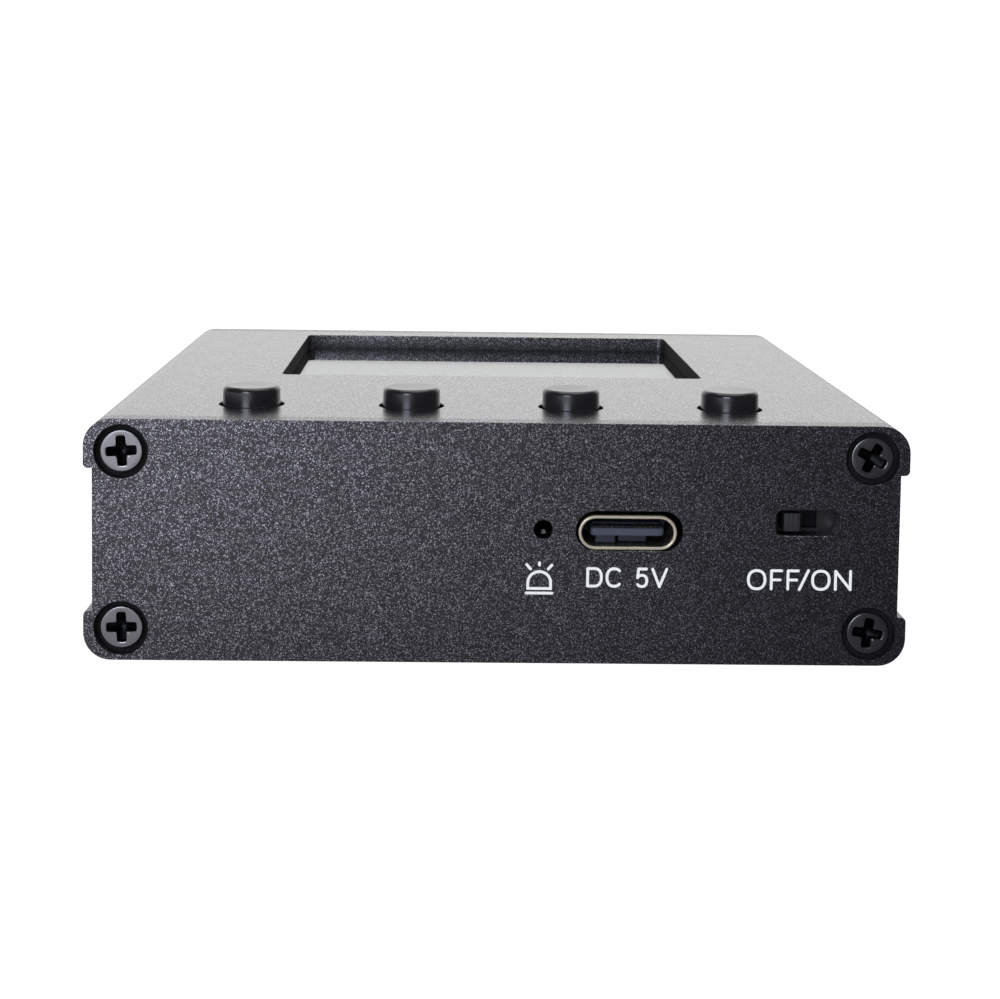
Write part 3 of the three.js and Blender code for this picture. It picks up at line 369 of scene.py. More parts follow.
def spin(rows, turn, centre, face=0.0, way=1, closed=False):
    """Shell of rows of (radius, depth) round an axis along Y, where each may be one number or one
    for each angle. Depths run from the face, along Y or against it."""
    grid = np.array([[np.broadcast_to(part, len(turn)) for part in row] for row in rows])
    radius, depth = grid[:, 0], grid[:, 1]
    x = centre[0] + way * radius * np.cos(turn)
    z = centre[2] + radius * np.sin(turn)
    points = np.stack([x, face + way * depth, z], 2).reshape(-1, 3)
    return points, grid_faces(len(rows), len(turn), closed)


def triangle_wave(turns):
    """1 at whole turns, 0 half-way between them, and in proportion elsewhere."""
    return np.abs((turns % 1) * 2 - 1)


# Meshes and objects
def join_shells(name, shells):
    """One mesh of closed shells, with doubled points merged and all faces outwards."""
    work = bmesh.new()
    for points, faces in shells:
        part = bpy.data.meshes.new(name)
        part.from_pydata(np.asarray(points).tolist(), [], faces)
        work.from_mesh(part)
        bpy.data.meshes.remove(part)
    bmesh.ops.remove_doubles(work, verts=work.verts, dist=0.0005 * MM)
    bmesh.ops.dissolve_degenerate(work, edges=work.edges, dist=0.0004 * MM)
    bmesh.ops.recalc_face_normals(work, faces=work.faces)
    mesh = bpy.data.meshes.new(name)
    work.to_mesh(mesh)
    work.free()
    return mesh


def new_object(name, data):
    """Object in the scene."""
    made = bpy.data.objects.new(name, data)
    bpy.context.scene.collection.objects.link(made)
    return made


def new_piece(name, shells):
    """Object made of closed shells."""
    return new_object(name, join_shells(name, shells))


def cut_holes(piece, shells):
    """Takes the shells' volume out of the piece, whose mesh is replaced by what remains."""
    tool = new_piece("tool", shells)
    modifier = piece.modifiers.new("Holes", "BOOLEAN")
    modifier.operation = "DIFFERENCE"
    modifier.solver = "EXACT"
    modifier.object = tool
    seen = piece.evaluated_get(bpy.context.evaluated_depsgraph_get())
    whole, piece.data = piece.data, bpy.data.meshes.new_from_object(seen)
    piece.modifiers.clear()
    cutter = tool.data
    bpy.data.objects.remove(tool)
    for mesh in (whole, cutter):
        bpy.data.meshes.remove(mesh)


def read_points(piece):
    """The piece's points as an array."""
    points = np.empty(len(piece.data.vertices) * 3)
    piece.data.vertices.foreach_get("co", points)
    return points.reshape(-1, 3)


def keep_values(piece, name, values):
    """Stores one value for each point under a name that materials read."""
    kept = piece.data.attributes.new(name, "FLOAT", "POINT")
    kept.data.foreach_set("value", np.asarray(values, np.float32))


def keep_turning(piece, centre):
    """Stores each point's distance from the piece's axis along Y, for the turning marks."""
    away = read_points(piece) - np.asarray(centre)
    keep_values(piece, "turning", np.hypot(away[:, 0], away[:, 2]))


def keep_painted_shade(piece, centres, radius, face, way, shallow, deep):
    """Stores a mask of painted shade for recesses: how deep each point within a radius of the centres lies
    under the face, 0 at the shallow depth and 1 at the deep one, in proportion between them. Materials darken
    the surface by it."""
    points = read_points(piece)
    apart = points[:, None, [0, 2]] - np.asarray(centres)[None][:, :, [0, 2]]
    near = np.hypot(apart[..., 0], apart[..., 1]).min(1) < radius
    depth = way * (points[:, 1] - face)
    keep_values(piece, "sunk", near * np.clip((depth - shallow) / (deep - shallow), 0, 1))


def finish_piece(piece, body, material, replaced=None, sharp=40):
    """Smooths the piece up to a sharp angle in degrees, gives it its material and its body."""
    piece.data.shade_smooth()
    piece.data.set_sharp_from_angle(angle=math.radians(sharp))
    piece.modifiers.new("Even normals", "WEIGHTED_NORMAL").keep_sharp = True
    piece.data.materials.clear()
    piece.data.materials.append(material)
    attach(piece, body)
    if replaced:
        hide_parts(replaced)


def make_piece(name, shells, body, material, replaced=None, sharp=40):
    """Builds a piece of shells and finishes it."""
    finish_piece(new_piece(name, shells), body, material, replaced, sharp)


def dress(material, *parts):
    """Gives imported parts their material."""
    for part in parts:
        nodes[part].data.materials.clear()
        nodes[part].data.materials.append(material)


# Nodes. An input is given as its name, with _ for a space, or as _ and its index, and takes a value
# or the socket that feeds it.
def feed(tree, node, **inputs):
    """Sets inputs of a node."""
    for key, value in inputs.items():
        socket = node.inputs[int(key[1:]) if key[1:].isdigit() else key.replace("_", " ")]
        if isinstance(value, bpy.types.NodeSocket):
            tree.links.new(value, socket)
        else:
            socket.default_value = value


def add_node(tree, kind, settings=None, **inputs):
    """Adds a node with its settings and inputs."""
    made = tree.nodes.new(f"ShaderNode{kind}")
    for key, value in (settings or {}).items():
        setattr(made, key, value)
    feed(tree, made, **inputs)
    return made


def calculate(tree, operation, *values, **settings):
    """Result of a sum on up to three values."""
    inputs = {f"_{place}": value for place, value in enumerate(values)}
    return add_node(tree, "Math", {"operation": operation, **settings}, **inputs).outputs[0]


def rescale(tree, value, low=0.0, high=1.0, new_low=0.0, new_high=1.0):
    """Value carried from one range over to another, and held inside it."""
    return add_node(tree, "MapRange", _0=value, _1=low, _2=high, _3=new_low, _4=new_high).outputs[0]


def noise(tree, where, scale, detail, **inputs):
    """Noise at a scale in waves per metre."""
    return add_node(tree, "TexNoise", Vector=where, Scale=scale, Detail=detail, **inputs).outputs[0]


def mix_colours(tree, factor, first, second):
    """Mixes two colours, each a socket or three numbers."""
    given = (first, second)
    given = [part if isinstance(part, bpy.types.NodeSocket) else (*part, 1) for part in given]
    return add_node(tree, "Mix", {"data_type": "RGBA"}, _0=factor, _6=given[0], _7=given[1]).outputs[2]


def mix_tints(tree, factor, tint, low, high):
    """One colour made darker and lighter by two factors, and mixed."""
    return mix_colours(tree, factor, *([min(1, part * times) for part in tint] for times in (low, high)))


def bump(tree, strength, distance, height):
    """Normal of a relief whose height varies over a distance in metres."""
    return add_node(tree, "Bump", Strength=strength, Distance=distance, Height=height).outputs[0]


def attribute(tree, name):
    """Value kept with the piece's points."""
    return add_node(tree, "Attribute", {"attribute_name": name}).outputs["Fac"]


def empty_tree(owner):
    """The owner's node tree with its output node alone, and that output."""
    owner.use_nodes = True
    tree = owner.node_tree
    tree.nodes.clear()
    kind = "OutputWorld" if isinstance(owner, bpy.types.World) else "OutputMaterial"
    return tree, add_node(tree, kind)


# Node groups that materials share
def new_group(name, inputs, outputs):
    """Empty node group with float inputs and their defaults, vector inputs whose default is None,
    and its outputs."""
    tree = bpy.data.node_groups.new(name, "ShaderNodeTree")
    for label, default in inputs.items():
        kind = "NodeSocketVector" if default is None else "NodeSocketFloat"
        socket = tree.interface.new_socket(label, in_out="INPUT", socket_type=kind)
        if default is not None:
            socket.default_value = default
    for label in outputs:
        tree.interface.new_socket(label, in_out="OUTPUT", socket_type="NodeSocketFloat")
    return tree, tree.nodes.new("NodeGroupInput").outputs, tree.nodes.new("NodeGroupOutput")


def grain_group(name):
    """Blasted or moulded grain: two sizes of noise give the height, cells of random colour the
    glints and the shade of each facet, and slow noise the mottling."""
    defaults = {"Vector": None, "Size": 0.2 * MM, "Glint": 0.62}
    tree, given, result = new_group(name, defaults, ("Height", "Glints", "Shade", "Mottle"))
    where, scale = given["Vector"], calculate(tree, "DIVIDE", 1.0, given["Size"])
    fine = noise(tree, where, scale, 2.0, Roughness=0.65)
    broad = noise(tree, where, calculate(tree, "MULTIPLY", scale, 0.45), 1.0)
    facets = add_node(tree, "TexVoronoi", Vector=where, Scale=scale)
    by_facet = add_node(tree, "SeparateColor", Color=facets.outputs["Color"]).outputs
    feed(
        tree,
        result,
        Height=calculate(tree, "MULTIPLY_ADD", broad, 0.6, fine),
        Glints=rescale(tree, by_facet[0], given["Glint"]),
        Shade=by_facet[1],
        Mottle=noise(tree, where, 260.0, 3.0),
    )
    return tree


def turning_group(name):
    """Fine rings left by a lathe, from the distance to the axis kept in the piece's attribute."""
    tree, given, result = new_group(name, {"Distance": 0.0, "Spacing": 0.05 * MM}, ("Marks",))
    rings = calculate(tree, "DIVIDE", given["Distance"], given["Spacing"])
    marks = add_node(tree, "TexNoise", {"noise_dimensions": "1D"}, W=rings, Scale=1.0, Detail=2.0)
    feed(tree, result, Marks=marks.outputs[0])
    return tree


def handling_group(name):
    """Slow uneven gloss, as left by handling: distorted noise, scaled between two values."""
    tree, given, result = new_group(name, {"Vector": None, "Low": 0.1, "High": 0.2}, ("Roughness",))
    stains = noise(tree, given["Vector"], 140.0, 4.0, Distortion=0.6)
    feed(tree, result, Roughness=rescale(tree, stains, 0.35, 0.68, given["Low"], given["High"]))
    return tree


GROUPS = {"Surface grain": grain_group, "Turning marks": turning_group, "Handling": handling_group}


def place_group(tree, name, **inputs):
    """Outputs of a shared group placed in a material. The group is built the first time."""
    shared = bpy.data.node_groups.get(name) or GROUPS[name](name)
    return add_node(tree, "Group", {"node_tree": shared}, **inputs).outputs


# Materials
def new_material(name, **inputs):
    """Material with a Principled BSDF, and its tree, shader and Object coordinates."""
    material = bpy.data.materials.new(name)
    tree, output = empty_tree(material)
    shader = add_node(tree, "BsdfPrincipled", **inputs)
    feed(tree, output, Surface=shader.outputs[0])
    return material, tree, shader, add_node(tree, "TexCoord").outputs["Object"]


def anodised_material(name, sealing, relief):
    """Black anodised aluminium over blasting: dark, with bare bright facets and a sheen that differs from
    facet to facet, down to a share of it, and a relief in metres. The sunk attribute paints shade: it takes
    facets and sheen away at the bottom of the bores and on the walls of the display opening, and roughens the
    surface there."""
    case = bpy.context.scene.generator_case
    material, tree, shader, where = new_material(name, IOR=1.65, Coat_Roughness=0.26, Coat_IOR=1.55)
    grain = place_group(tree, "Surface grain", Vector=where, Size=case.grain, Glint=0.72)
    # Painted shade: the sunk mask takes glints and coat away and roughens the surface in the bores and the
    # display opening.
    sunk = attribute(tree, "sunk")
    shown = calculate(tree, "SUBTRACT", 1.0, sunk)
    bright = calculate(tree, "MULTIPLY", grain["Glints"], shown)
    least = calculate(tree, "MULTIPLY", shown, sealing)
    base = mix_tints(tree, grain["Mottle"], case.colour, 0.7, 1.3)
    spread = 0.04
    rough = rescale(tree, grain["Mottle"], 0.0, 1.0, case.roughness - spread, case.roughness + spread)
    feed(
        tree,
        shader,
        Base_Color=mix_colours(tree, bright, base, case.speck_colour),
        Metallic=calculate(tree, "MULTIPLY", bright, 4.0, use_clamp=True),
        Roughness=calculate(tree, "MULTIPLY_ADD", sunk, 0.6, rough),
        Coat_Weight=rescale(tree, grain["Shade"], 0.0, 1.0, least, shown),
        Normal=bump(tree, 1.0, relief, grain["Height"]),
    )
    return material


def turned_metal(name, tint, roughness, metallic=1.0, spacing=0.05 * MM):
    """Turned and plated metal: rings from the piece's own attribute, and handling marks. The sunk attribute
    paints shade into it, darkening its colour towards 3 percent of the tint in recesses."""
    material, tree, shader, where = new_material(name, Metallic=metallic)
    marks = place_group(tree, "Turning marks", Distance=attribute(tree, "turning"), Spacing=spacing)["Marks"]
    gloss = place_group(tree, "Handling", Vector=where, Low=roughness * 0.8, High=roughness * 1.3)
    streaks = mix_tints(tree, marks, tint, 0.82, 1.12)
    # Painted shade: the colour that the sunk mask darkens recesses to.
    deep = [part * 0.03 for part in tint]
    feed(
        tree,
        shader,
        Base_Color=mix_colours(tree, attribute(tree, "sunk"), streaks, deep),
        Roughness=gloss[0],
        Normal=bump(tree, 0.25, 0.01 * MM, marks),
    )
    return material


def worked_surface(name, tint, low, high, size, relief, contrast, **inputs):
    """Moulded, rolled or printed surface: grain of a size in mm in its height and tone, and gloss
    that varies between two roughnesses."""
    material, tree, shader, where = new_material(name, **inputs)
    grain = place_group(tree, "Surface grain", Vector=where, Size=size * MM, Glint=0.6)
    feed(
        tree,
        shader,
        Base_Color=mix_tints(tree, grain["Mottle"], tint, 1 - contrast, 1 + contrast),
        Roughness=place_group(tree, "Handling", Vector=where, Low=low, High=high)[0],
        Normal=bump(tree, relief, 0.01 * MM, grain["Height"]),
    )
    return material


def pane_material():
    """Clear hard-coated pane with faint handling marks."""
    material, tree, shader, where = new_material("clear pane", Metallic=0.0, IOR=1.5, Transmission_Weight=1.0)
    stains = place_group(tree, "Handling", Vector=where, Low=0.0, High=0.03)[0]
    tint = mix_colours(tree, stains, (0.9, 0.92, 0.93), (0.93, 0.94, 0.95))
    feed(tree, shader, Base_Color=tint, Roughness=stains)
    return material


def polariser_material(centre, active):
    """Display that is switched off: near black, with a slightly lighter active area whose pixel
    rows show close to. The area's mask is one where both distances from its centre are inside."""
    material, tree, shader, where = new_material("display polariser", Metallic=0.0, IOR=1.5)
    split = add_node(tree, "SeparateXYZ", Vector=where).outputs
    masks = []
    for axis in (0, 1):
        away = calculate(tree, "ABSOLUTE", calculate(tree, "SUBTRACT", split[axis], centre[axis]))
        masks.append(calculate(tree, "LESS_THAN", away, active[axis] / 2))
    area, pixel = calculate(tree, "MULTIPLY", *masks), 0.13 * MM
    rows = add_node(tree, "TexWave", {"bands_direction": "X"}, Vector=where, Scale=1 / (20 * pixel))
    lit = mix_colours(tree, rows.outputs["Fac"], (0.0105, 0.012, 0.0135), (0.0135, 0.015, 0.017))
    feed(
        tree,
        shader,
        Base_Color=mix_colours(tree, area, (0.004, 0.004, 0.005), lit),
        Roughness=place_group(tree, "Handling", Vector=where, Low=0.1, High=0.16)[0],
    )
    return material


def laminate_material():
    """Green solder mask over copper tracks: brick joints stand for the tracks' edges."""
    material, tree, shader, where = new_material("solder mask", Metallic=0.0)
    bricks = add_node(
        tree, "TexBrick", {"offset": 0.37}, Vector=where, Scale=420.0, Mortar_Size=0.03, Bias=0.1
    )
    tracks = bricks.outputs["Fac"]
    feed(
        tree,
        shader,
        Base_Color=mix_colours(tree, tracks, (0.006, 0.085, 0.035), (0.012, 0.14, 0.06)),
        Roughness=place_group(tree, "Handling", Vector=where, Low=0.25, High=0.4)[0],
        Normal=bump(tree, 0.3, 0.03 * MM, tracks),
    )
    return material


# Worked surfaces: colour, lowest and highest roughness, size of the grain in mm, relief, contrast
SURFACES = {
    "moulded black": ((0.02, 0.02, 0.022), 0.38, 0.55, 0.12, 0.3, 0.2),
    "glass filled nylon": ((0.05, 0.058, 0.085), 0.22, 0.35, 0.15, 0.2, 0.2),
    # The switch cover's steel is given a dark colour that paints the shade it sits in behind the slot.
    "shade darkened steel": ((0.085, 0.078, 0.078), 0.3, 0.45, 0.3, 0.15, 0.2),
    "lever": ((0.02, 0.0205, 0.024), 0.42, 0.55, 0.1, 0.3, 0.2),
    "natural nylon": ((0.75, 0.73, 0.64), 0.4, 0.5, 0.2, 0.15, 0.05),
    "fluoropolymer": ((0.86, 0.86, 0.83), 0.35, 0.5, 0.3, 0.1, 0.03),
    "chip epoxy": ((0.022, 0.022, 0.023), 0.5, 0.65, 0.15, 0.35, 0.2),
    "pouch foil": ((0.6, 0.61, 0.63), 0.25, 0.42, 1.2, 0.6, 0.06),
    "cell foam": ((0.04, 0.04, 0.042), 0.85, 0.95, 0.5, 0.9, 0.3),
    "amber film": ((0.5, 0.22, 0.04), 0.2, 0.35, 0.4, 0.1, 0.1),
    "lamp resin": ((0.95, 0.92, 0.8), 0.08, 0.14, 0.3, 0.05, 0.05),
    "red silicone": ((0.5, 0.015, 0.015), 0.4, 0.55, 0.2, 0.1, 0.1),
    "black silicone": ((0.015, 0.015, 0.016), 0.4, 0.55, 0.2, 0.1, 0.1),
}
METALLIC = {"shade darkened steel": 0.6, "pouch foil": 0.9}

# The finishes made so far
finishes = {}


def make_finish(name):
    """Material by name, in the colours of the settings where they have one for it."""
    scene = bpy.context.scene
    keys, ports = scene.generator_keys, scene.generator_ports
    if name in SURFACES:
        inputs = {"Metallic": METALLIC[name]} if name in METALLIC else {}
        return worked_surface(name, *SURFACES[name], **inputs)
    if name == "anodised extrusion":
        return anodised_material(name, 1.0, 0.012 * MM)
    if name == "anodised plate":
        return anodised_material(name, 0.0, 0.02 * MM)
    if name == "black zinc":
        return turned_metal(name, scene.generator_screws.colour, 0.27, 1.0, 0.09 * MM)
    if name == "gold plating":
        return turned_metal(name, scene.generator_output.gold, 0.22, 1.0, 0.12 * MM)
    if name == "satin plating":
        return turned_metal(name, ports.plating, 0.26, 0.72)
    if name == "plated steel":
        return worked_surface(name, ports.steel, 0.28, 0.42, 0.5, 0.15, 0.08, Metallic=1.0)
    if name == "key cap":
        gloss = (keys.roughness - 0.05, keys.roughness + 0.08)
        coat = {"IOR": 1.6, "Coat_Weight": 0.8, "Coat_Roughness": 0.16}
        return worked_surface(name, keys.colour, *gloss, 0.3, 0.25, 0.2, **coat)
    if name == "legend ink":
        return worked_surface(name, scene.generator_legends.colour, 0.55, 0.7, 0.12, 0.3, 0.03)
    return {"solder mask": laminate_material, "clear pane": pane_material}[name]()


def finish(name):
    """Material by name, made when it is first asked for."""
    if name not in finishes:
        finishes[name] = make_finish(name)
    return finishes[name]


# Case and end plates
def case_outline(steps):
    """Outer outline of the extrusion and of both plates, anticlockwise from the port end: rounded
    corners, and on each side two ears with a shallow channel between them."""
    case = bpy.context.scene.generator_case
    w, _, top = box_of("case_shell")[1]
    ear, step, r, e = case.ear_height, case.ear_step, case.corner_radius, case.ear_radius
    right = [(w, 0, r), (w, ear, e), (w - step, ear, 0)]
    right += [(x, top - z, radius) for x, z, radius in right[::-1]]
    corners = np.array(right + [(-x, top - z, radius) for x, z, radius in right])
    return round_corners(corners[:, :2], corners[:, 2], steps)


def screw_places(kind):
    """Middle of each screw of one plate, and the height of its head on Y."""
    screws = [f"{kind}_screw_{number}" for number in range(1, 5)]
    return [(middle_of(screw), box_of(screw)[kind == "rf"][1]) for screw in screws]


def cavity_outline():
    """Inner outline of the extrusion, made of its right half and the mirror of it: the floor, the
    lower screw port, three ribs, the upper screw port and the ceiling. A port is an arc of its
    outer wall, its mouth, the bore, and the arc again."""
    case = bpy.context.scene.generator_case
    _, high = box_of("case_shell")
    side = high[0] - case.ear_step - case.wall
    (centre, _), bore, mouth = screw_places("port")[2], case.port_bore / 2, case.port_mouth / 2
    x, z = abs(centre[0]), min(centre[2], high[2] - centre[2])
    outer = bore + case.port_wall
    to_floor = 180 + math.degrees(math.asin((z - case.wall) / outer))
    to_side = math.degrees(math.acos((side - x) / outer))
    lip, throat = (math.degrees(math.asin(mouth / radius)) for radius in (outer, bore))
    port = np.concatenate(
        [
            arc(x, z, outer, to_floor, 180 + lip, 6),
            arc(x, z, bore, 180 + throat, 540 - throat, 28),
            arc(x, z, outer, 180 - lip, to_side, 16),
        ]
    )
    main_low, main_high = box_of("main_board")
    under = case.rib_play + case.rib_height
    ribs = [main_low[2] - under, main_high[2] + case.rib_play, box_of("display_board")[0][2] - under]
    reach = side - case.rib_reach
    steps = [
        [(side, rib), (reach, rib), (reach, rib + case.rib_height), (side, rib + case.rib_height)]
        for rib in ribs
    ]
    upper = port[::-1] * (1, -1) + (0, high[2])
    right = np.concatenate([port, *steps, upper])
    return np.concatenate([right, right[::-1] * (-1, 1)])


def shade_opening(piece, middle, size, top, wall):
    """Stores the sunk mask that paints shade on the display opening's walls: it grows with depth up to a
    share over the wall's thickness, and is 1 on the two sides."""
    near, level, share_at_floor = 0.1 * MM, 0.02 * MM, 0.8
    points = read_points(piece)
    away = np.abs(points[:, :2] - middle[:2]) - np.array(size) / 2
    sunk = share_at_floor * np.clip((top - near - points[:, 2]) / wall, 0, 1)
    beside = (away[:, 0] > -level) & (points[:, 2] < top - level)
    keep_values(piece, "sunk", (away < near).all(1) * np.where(beside, 1.0, sunk))


class GENERATOR_OT_case(bpy.types.Operator):
    """Builds the extrusion with its ports, ribs, key holes and display opening"""

    bl_idname = "generator.case"
    bl_label = "Case"

    def execute(self, context):
        case = context.scene.generator_case
        low, high = box_of("case_shell")
        piece = new_piece("case_body", [prism("Y", case_outline(14), low[1], high[1])])
        ends = (low[1] - case.wall, high[1] + case.wall)
        cut_holes(piece, [stack_shell([along("Y", cavity_outline(), y) for y in ends])])
        window_low, window_high = box_of("display_window")
        size = (window_high - window_low)[:2] - 2 * case.opening_margin
        middle = middle_of("display_window")
        outlines = [rectangle(*size, case.opening_radius, *middle[:2], 10)]
        for number in range(1, 5):
            outlines.append(circle(case.key_hole / 2, *middle_of(f"key_cap_{number}")[:2], 72))
        top, reach = high[2], -2 * case.wall
        cut_holes(piece, [flared_cutter("Z", outline, top, reach, case.edge_break) for outline in outlines])
        shade_opening(piece, middle, size, top, case.wall)
        finish_piece(piece, "case", finish("anodised extrusion"), "case_shell", 24)
        return {"FINISHED"}


def countersink(centre, face, way, case):
    """Tool for a screw hole: a straight bore with a broken edge, then a cone down to the clearance
    hole, which keeps radius + depth equal to the bore's radius."""
    sink, hole, edge, through = case.countersink / 2, case.clearance / 2, case.edge_break / 2, 4 * OVER
    profile = [
        (0, -OVER),
        (sink + edge + OVER, -OVER),
        (sink, edge),
        (sink, case.relief),
        (sink - case.relief, case.relief),
        (hole, sink - hole),
        (hole, through),
        (0, through),
    ]
    return revolve("Y", np.array(profile) * (1, way), (centre[0], face, centre[2]), 72)


def end_plate(name, node, kind, way, outlines):
    """Plate of the case's outline: with a rounded edge on its free side, holes of the outlines with broken
    edges, and four countersinks with painted shade that darkens with their depth."""
    case = bpy.context.scene.generator_case
    low, high = box_of(node)
    face, through = (low[1] if way > 0 else high[1]), way * (high[1] - low[1] + OVER)
    edges = (case.plate_edge, 0.0)[::way]
    piece = new_piece(name, [prism("Y", case_outline(10), low[1], high[1], *edges, 4)])
    centres = [centre for centre, _ in screw_places(kind)]
    tools = [flared_cutter("Y", outline, face, through, case.edge_break) for outline in outlines]
    cut_holes(piece, tools + [countersink(centre, face, way, case) for centre in centres])
    # Painted shade in the countersinks, darkest at 0.6 of the relief.
    reach, darkest = case.countersink * 0.6, case.relief * 0.6
    keep_painted_shade(piece, centres, reach, face, way, case.edge_break, darkest)
    finish_piece(piece, "case", finish("anodised plate"), node, 24)


class GENERATOR_OT_plates(bpy.types.Operator):
    """Builds both end plates with their countersinks and openings"""

    bl_idname = "generator.plates"
    bl_label = "End plates"

    def execute(self, context):
        ports = context.scene.generator_ports
        output = context.scene.generator_output
        board = box_of("main_board")[1][2]
        usb_x = middle_of("usb_shell")[0] + ports.usb_slot_right
        usb_z = board + ports.usb_height / 2 + ports.usb_slot_up
        lamp_x, lamp_z = middle_of("charge_lamp")[0], board + ports.lamp_hole_up
        switch_x = middle_of("switch_cover")[0] + ports.switch_slot_right
        switch_z = middle_of("switch_lever")[2]
        slot = (ports.switch_slot_width, ports.switch_slot_height, ports.switch_slot_radius)
        outlines = [
            rectangle(ports.usb_slot_width, ports.usb_slot_height, ports.usb_slot_height, usb_x, usb_z, 24),
            circle(ports.lamp_hole / 2, lamp_x, lamp_z, 40),
            rectangle(*slot, switch_x, switch_z, 10),
        ]
        end_plate("port_plate", "port_panel", "port", 1, outlines)
        jack = circle(output.hole / 2, middle_of("sma_body")[0], middle_of("sma_nut")[2], 72)
        end_plate("rf_plate", "rf_panel", "rf", -1, [jack])
        return {"FINISHED"}


# Screws
def screw_shell(centre, face, way, turn, under, screw, columns=120):
    """Countersunk screw as a grid of angle and row. The recess's outline at angle t is the smooth
    minimum of span / 2 and the smooth maximum of arm / 2 / |sin t| and arm / 2 / |cos t|, and its
    floor falls as a cone to the tip. Past it rows run over the lip to the head's edge, down the
    cone, and along the shank, where the radius follows a triangle wave of depth / pitch + t / 2 pi."""
    angle = full_turn(columns)
    span, tip, head, shank = screw.span / 2, screw.tip / 2, screw.head / 2, screw.shank / 2
    across, down = (screw.arm / 2 / np.maximum(np.abs(f(angle)), 1e-3) for f in (np.sin, np.cos))
    slabs = (across**8 + down**8) ** (1 / 8)
    cross = (slabs**-14.0 + span**-14.0) ** (-1 / 14)
    rows = []
    for part in (0.0, 0.15, 0.4, 0.65, 0.85, 0.94):
        fall = np.clip((span - cross * part) / (span - tip), 0, 1)
        rows.append((cross * part, screw.depth * (0.5 + 0.5 * fall)))
    rows += [(cross + screw.lip * part, screw.lip * (1 - part) ** 2) for part in (0.0, 0.3, 1.0)]
    for part in (0.3, 0.65, 1.0):
        rows.append(((cross + screw.lip) * (1 - part) + (head - screw.edge) * part, 0.0))
    for t in np.radians((30, 60, 90)):
        rows.append((head - screw.edge * (1 - math.sin(t)), screw.edge * (1 - math.cos(t))))
    foot = screw.rim + (head - shank)
    rows += [(head, screw.rim), (shank, foot)]
    thread_end = under - 0.5 * MM
    for depth in np.arange(foot + screw.pitch / 5, thread_end, screw.pitch / 5):
        wave = triangle_wave(depth / screw.pitch + angle / (2 * math.pi))
        rows.append((shank - screw.thread * wave, depth))
    rows += [(shank / 2, under), (0.0, under)]
    return spin(rows, angle + turn, centre, face, way)


class GENERATOR_OT_screws(bpy.types.Operator):
    """Builds the eight countersunk screws"""

    bl_idname = "generator.screws"
    bl_label = "Screws"

    def execute(self, context):
        screw = context.scene.generator_screws
        for kind, way in (("port", 1), ("rf", -1)):
            for number, (centre, face) in enumerate(screw_places(kind), 1):
                node = f"{kind}_screw_{number}"
                low, high = box_of(node)
                shell = screw_shell(centre, face, way, screw.turns[number - 1], high[1] - low[1], screw)
                piece = new_piece(f"{kind}_fastener_{number}", [shell])
                keep_turning(piece, centre)
                # Painted shade in the cross recess, darkest at 0.4 of its depth.
                darkest = screw.depth * 0.4
                keep_painted_shade(piece, [centre], screw.span / 2, face, way, screw.lip, darkest)
                finish_piece(piece, "case", finish("black zinc"), node)
        return {"FINISHED"}


# Keys
class GENERATOR_OT_keys(bpy.types.Operator):
    """Builds the four key caps and dresses the tactile keys under them"""

    bl_idname = "generator.keys"
    bl_label = "Keys"

    def execute(self, context):
        keys = context.scene.generator_keys
        foot, edge, ease = keys.diameter / 2, keys.bevel, keys.ease
        inner, rings = foot - keys.taper - keys.fillet, (0.9, 0.75, 0.6, 0.45, 0.3, 0.15, 0.0)
        for number in range(1, 5):
            low, high = box_of(f"key_cap_{number}")
            x, y = middle_of(f"key_cap_{number}")[:2]
            rim, bottom, roof = (high[0] - low[0]) / 2, low[2], high[2] - keys.roof
            shelf, top = bottom + keys.flange, high[2] + keys.rise
            profile = np.concatenate(
                [
                    [(0, roof), (keys.bore / 2, roof), (keys.bore / 2, bottom)],
                    [(rim - edge, bottom), (rim, bottom + edge), (rim, shelf - edge), (rim - edge, shelf)],
                    arc(foot + ease, shelf + ease, ease, 270, 180, 4),
                    arc(inner, top - keys.fillet, keys.fillet, 0, 90, 10),
                    [(inner * s, top - keys.dish * (1 - s * s)) for s in rings],
                ]
            )
            shell = revolve("Z", profile, (x, y, 0), 96)
            material, node = finish("key cap"), f"key_cap_{number}"
            make_piece(f"key_button_{number}", [shell], f"key_{number}", material, node)
            dress(finish("moulded black"), f"key_plunger_{number}", f"key_housing_{number}")
            dress(finish("plated steel"), f"key_plate_{number}")
        return {"FINISHED"}


# Ports
def usb_sleeve(x, z, front, back, ports):
    """Drawn shell: an obround carried through a profile of (inset, depth), whose front lip is a
    half round of the wall's thickness. The seam dents the lip at the middle of the bottom."""
    w, h, seam, half = ports.usb_width / 2, ports.usb_height / 2, ports.seam / 2, ports.usb_wall / 2
    corners = [(x - w, z - h)] + [(x + step * seam, z - h) for step in (-2, -1, 1, 2)]
    corners += [(x + w, z - h), (x + w, z + h), (x - w, z + h)]
    bend, straight = 0.999 * h, [0] * 4
    outline = round_corners(corners, [bend, *straight, bend, bend, bend], 20)
    dent = ((np.abs(outline[:, 0] - x) < 1.5 * seam) & (outline[:, 1] < z)) * ports.seam_depth
    inside = front + ports.usb_wall
    rows = [(0.0, back), (0.0, inside)]
    rows += [(half * (1 - math.cos(t)), front + half * (1 - math.sin(t))) for t in np.linspace(0, math.pi, 9)]
    rows += [(ports.usb_wall, inside), (ports.usb_wall, back)]
    loops = [along("Y", grow(outline, -inset), depth + dent * (depth < back)) for inset, depth in rows]
    return stack_shell(loops, closed=True)


# The blocks under the USB tongue: their offset, width, height and setback from its tip in mm
USB_BLOCKS = ((-1.9, 1.8, 0.9, 1.1), (0.6, 2.6, 0.8, 1.5))


